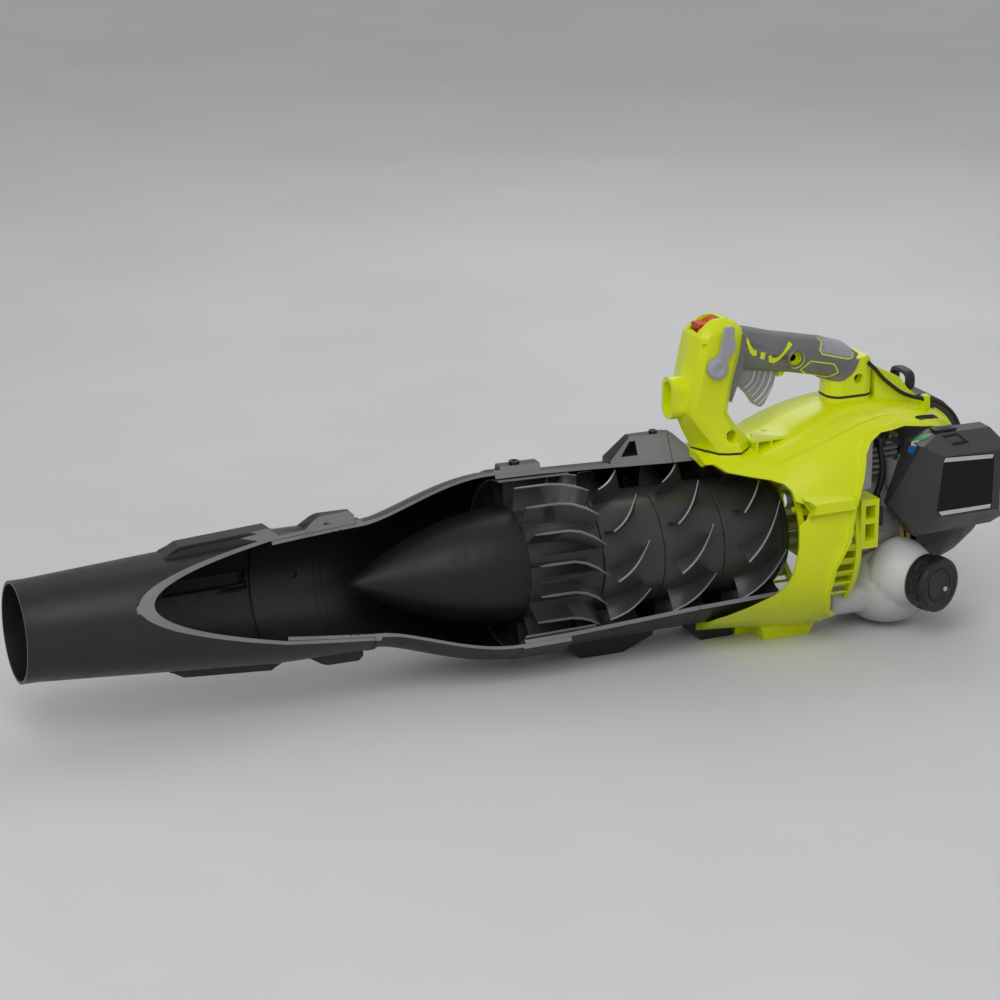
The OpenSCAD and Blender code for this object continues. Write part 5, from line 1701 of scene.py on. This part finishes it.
@dataclass
class FuelTank:
    """Milky blown tank with its seal, fuel lines and screw cap."""

    cap_at: Point = (132.5, -86.0, -42.4)
    cap_aside: float = 19.0
    cap_r: float = 26.0
    cap_h: float = 23.0
    neck_r: float = 20.5
    neck_gap: float = 0.9
    lugs: int = 8
    lug_half: float = 4.5
    lug_edge: float = 1.0
    lug_r: Spot = (24.8, 26.9)
    lug_h: Spot = (7.4, 15.8)
    first_lug: float = 0.3
    dot: Point = (147.3, -105.2, -47.6)
    dot_r: float = 2.3

    @property
    def axis(self) -> Vector:
        """The cap's outward axis."""
        a = math.radians(self.cap_aside)
        return Vector((math.sin(a), -math.cos(a), 0.0))

    def cap(self) -> bpy.types.Mesh:
        """The turned cap with stepped flank, rim and raised ring.

        Returns:
            Its closed skin.
        """
        r, h = self.cap_r, self.cap_h
        inner = self.neck_r + self.neck_gap
        profile = [(inner, 0.2), (r - 1.2, 0.0), (r - 0.3, 0.6), (r, 1.6), (r, 7.0), (r - 0.5, 7.6),
                   (r - 0.5, h - 7.0), (r + 0.4, h - 6.2), (r + 0.4, h - 2.6), (r - 0.4, h - 1.0),
                   (r - 2.4, h), (r - 4.4, h), (r - 5.4, h - 0.9), (r - 9.2, h - 1.4),
                   (r - 9.9, h - 0.2), (r - 10.9, h - 0.1), (r - 11.7, h - 1.5),
                   (r - 15.0, h - 1.8), (0.0, h - 1.8)]
        form = Form().turned(profile, self.cap_at, self.axis, 96)
        form.turned([(inner, 0.2), (inner, h - 5.9), (0.0, h - 5.9)], self.cap_at, self.axis, 96)
        return form.mesh("fuel_cap_skin")

    def lug(self) -> bpy.types.Mesh:
        """One flat lug of the flank, for a cap that stands on the Z axis.

        Returns:
            Its closed skin.
        """
        (r0, r1), w = self.lug_r, self.lug_half
        e = w - self.lug_edge
        return Form(0.0).skin([[(r0, -w, h), (r0, w, h), (r1, e, h), (r1, -e, h)]
                               for h in self.lug_h]).mesh("lug")

    def build(self, shop: Workshop, copies: bpy.types.NodeTree) -> None:
        """Make the cap and dress the tank.

        Args:
            shop: The workshop.
            copies: The tree that repeats the lug.
        """
        shop.dress("fuel_tank", sharp=42.0)
        shop.dress("cap_seal")
        shop.dress("fuel_lines", sharp=60.0)
        ring = shop.repeated(self.lug(), copies, CAP, Count=self.lugs,
                             Turn=(0.0, 0.0, math.tau / self.lugs),
                             First=(0.0, 0.0, self.first_lug))
        spin = self.axis.to_track_quat("Z", "Y").to_matrix().to_4x4()
        ring.transform(Matrix.Translation(metres(self.cap_at)) @ spin)
        shop.piece("fuel_cap_skin", joined("fuel_cap_skin", ring, self.cap()), CAP, Body.CAP,
                   ("fuel_cap",), 28.0)
        dot = Vector(self.dot)
        foot = dot - self.axis * (dot - Vector(self.cap_at)).dot(self.axis)
        r, h = self.dot_r, self.cap_h
        dot = Form().turned([(0.0, h - 2.6), (r, h - 2.6), (r, h - 0.5), (r - 0.4, h - 0.2),
                             (0.0, h - 0.2)], foot, self.axis, 24)
        shop.piece("cap_dot", dot.mesh("cap_dot"), BAND_WHITE, Body.CAP)


@dataclass
class Engine:
    """Cylinder, crankcase, carburettor and everything bolted to them."""

    cast: str = "crankcase engine_cylinder carburettor air_shroud"
    hard: str = "spark_plug throttle_arm ignition_coil heat_shield"
    rubber: str = "plug_boot plug_lead"

    def build(self, shop: Workshop) -> None:
        """Dress the engine.

        Args:
            shop: The workshop.
        """
        shop.dress(self.cast, 0.5)
        shop.dress(self.hard, 0.3)
        shop.dress("muffler", sharp=45.0)
        shop.dress("primer_bulb", sharp=50.0)
        shop.dress(self.rubber, sharp=60.0)
        shop.dress("engine_cover", 1.2, 24.0)


@dataclass
class Starter:
    """Pull starter with its rope and loop."""

    loop_at: Point = (170.0, 30.0, 122.2)
    loop_half: Spot = (14.4, 8.4)
    bar: Spot = (2.4, 5.0)
    square: float = 0.6
    steps: int = 72
    rope_r: float = 1.8
    rope_ends: Spot = (4.0, 110.0)
    stretch: Spot = (80.0, 109.0)

    def loop(self) -> Form:
        """The pull loop, a flat band bent to a rounded frame.

        Returns:
            Its form.
        """
        rings = []
        for spot in circle(self.steps):
            spot = [h * self.squared(v) for h, v in zip(self.loop_half, spot)]
            out = Vector([0.0] + [(v / h) ** 3 / h for v, h in zip(spot, self.loop_half)])
            out.normalize()
            middle = Vector(self.loop_at) + Vector((0.0, *spot))
            rings.append([middle + out * self.bar[0] * self.squared(u)
                          + Vector((self.bar[1] * self.squared(v), 0.0, 0.0))
                          for u, v in circle(16)])
        return Form().skin(rings, loop=True)

    def squared(self, v: float) -> float:
        """A sine or cosine pushed outward, which turns a circle into a rounded square."""
        return math.copysign(abs(v) ** self.square, v)

    def rope(self) -> Form:
        """The rope from the pulley's rim up to the loop.

        Returns:
            Its form, cut into short steps.
        """
        x, y, _ = self.loop_at
        low, high = self.rope_ends
        heights = [low + (high - low) * k / self.steps for k in range(self.steps + 1)]
        return Form().skin([[(x + self.rope_r * c, y + self.rope_r * s, z) for c, s in circle(14)]
                            for z in heights])

    def build(self, shop: Workshop) -> None:
        """Dress the starter, make its rope up to the loop and make the loop.

        Args:
            shop: The workshop.
        """
        shop.dress("starter_housing", 0.8)
        shop.dress("starter_pulley", 0.3)
        rope = shop.piece("starter_rope_skin", self.rope().mesh("starter_rope_skin"), ROPE,
                          None, ("starter_rope",))
        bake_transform(rope)
        shop.piece("starter_grip_skin", self.loop().mesh("starter_grip_skin"), COVER_DARK,
                   Body.GRIP, ("starter_grip",), 50.0)


def main() -> None:
    """Build every sub-assembly in order."""
    logging.basicConfig(level=logging.INFO, format="%(name)s: %(message)s")
    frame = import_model()
    shop = Workshop(frame["nodes"], frame["record"]["behaviour"]["bodies"])
    Studio().build()
    controls = Controls()
    controls.throttle_cable(shop)
    copies, studs = copies_tree(), studs_tree()
    AirTubes().build(shop)
    Rotor().build(shop, copies)
    Housing().build(shop)
    Handle().build(shop)
    Grip().build(shop, studs)
    controls.build(shop)
    FilterBox().build(shop)
    FuelTank().build(shop, copies)
    Engine().build(shop)
    Starter().build(shop)


if __name__ == "__main__":
    main()
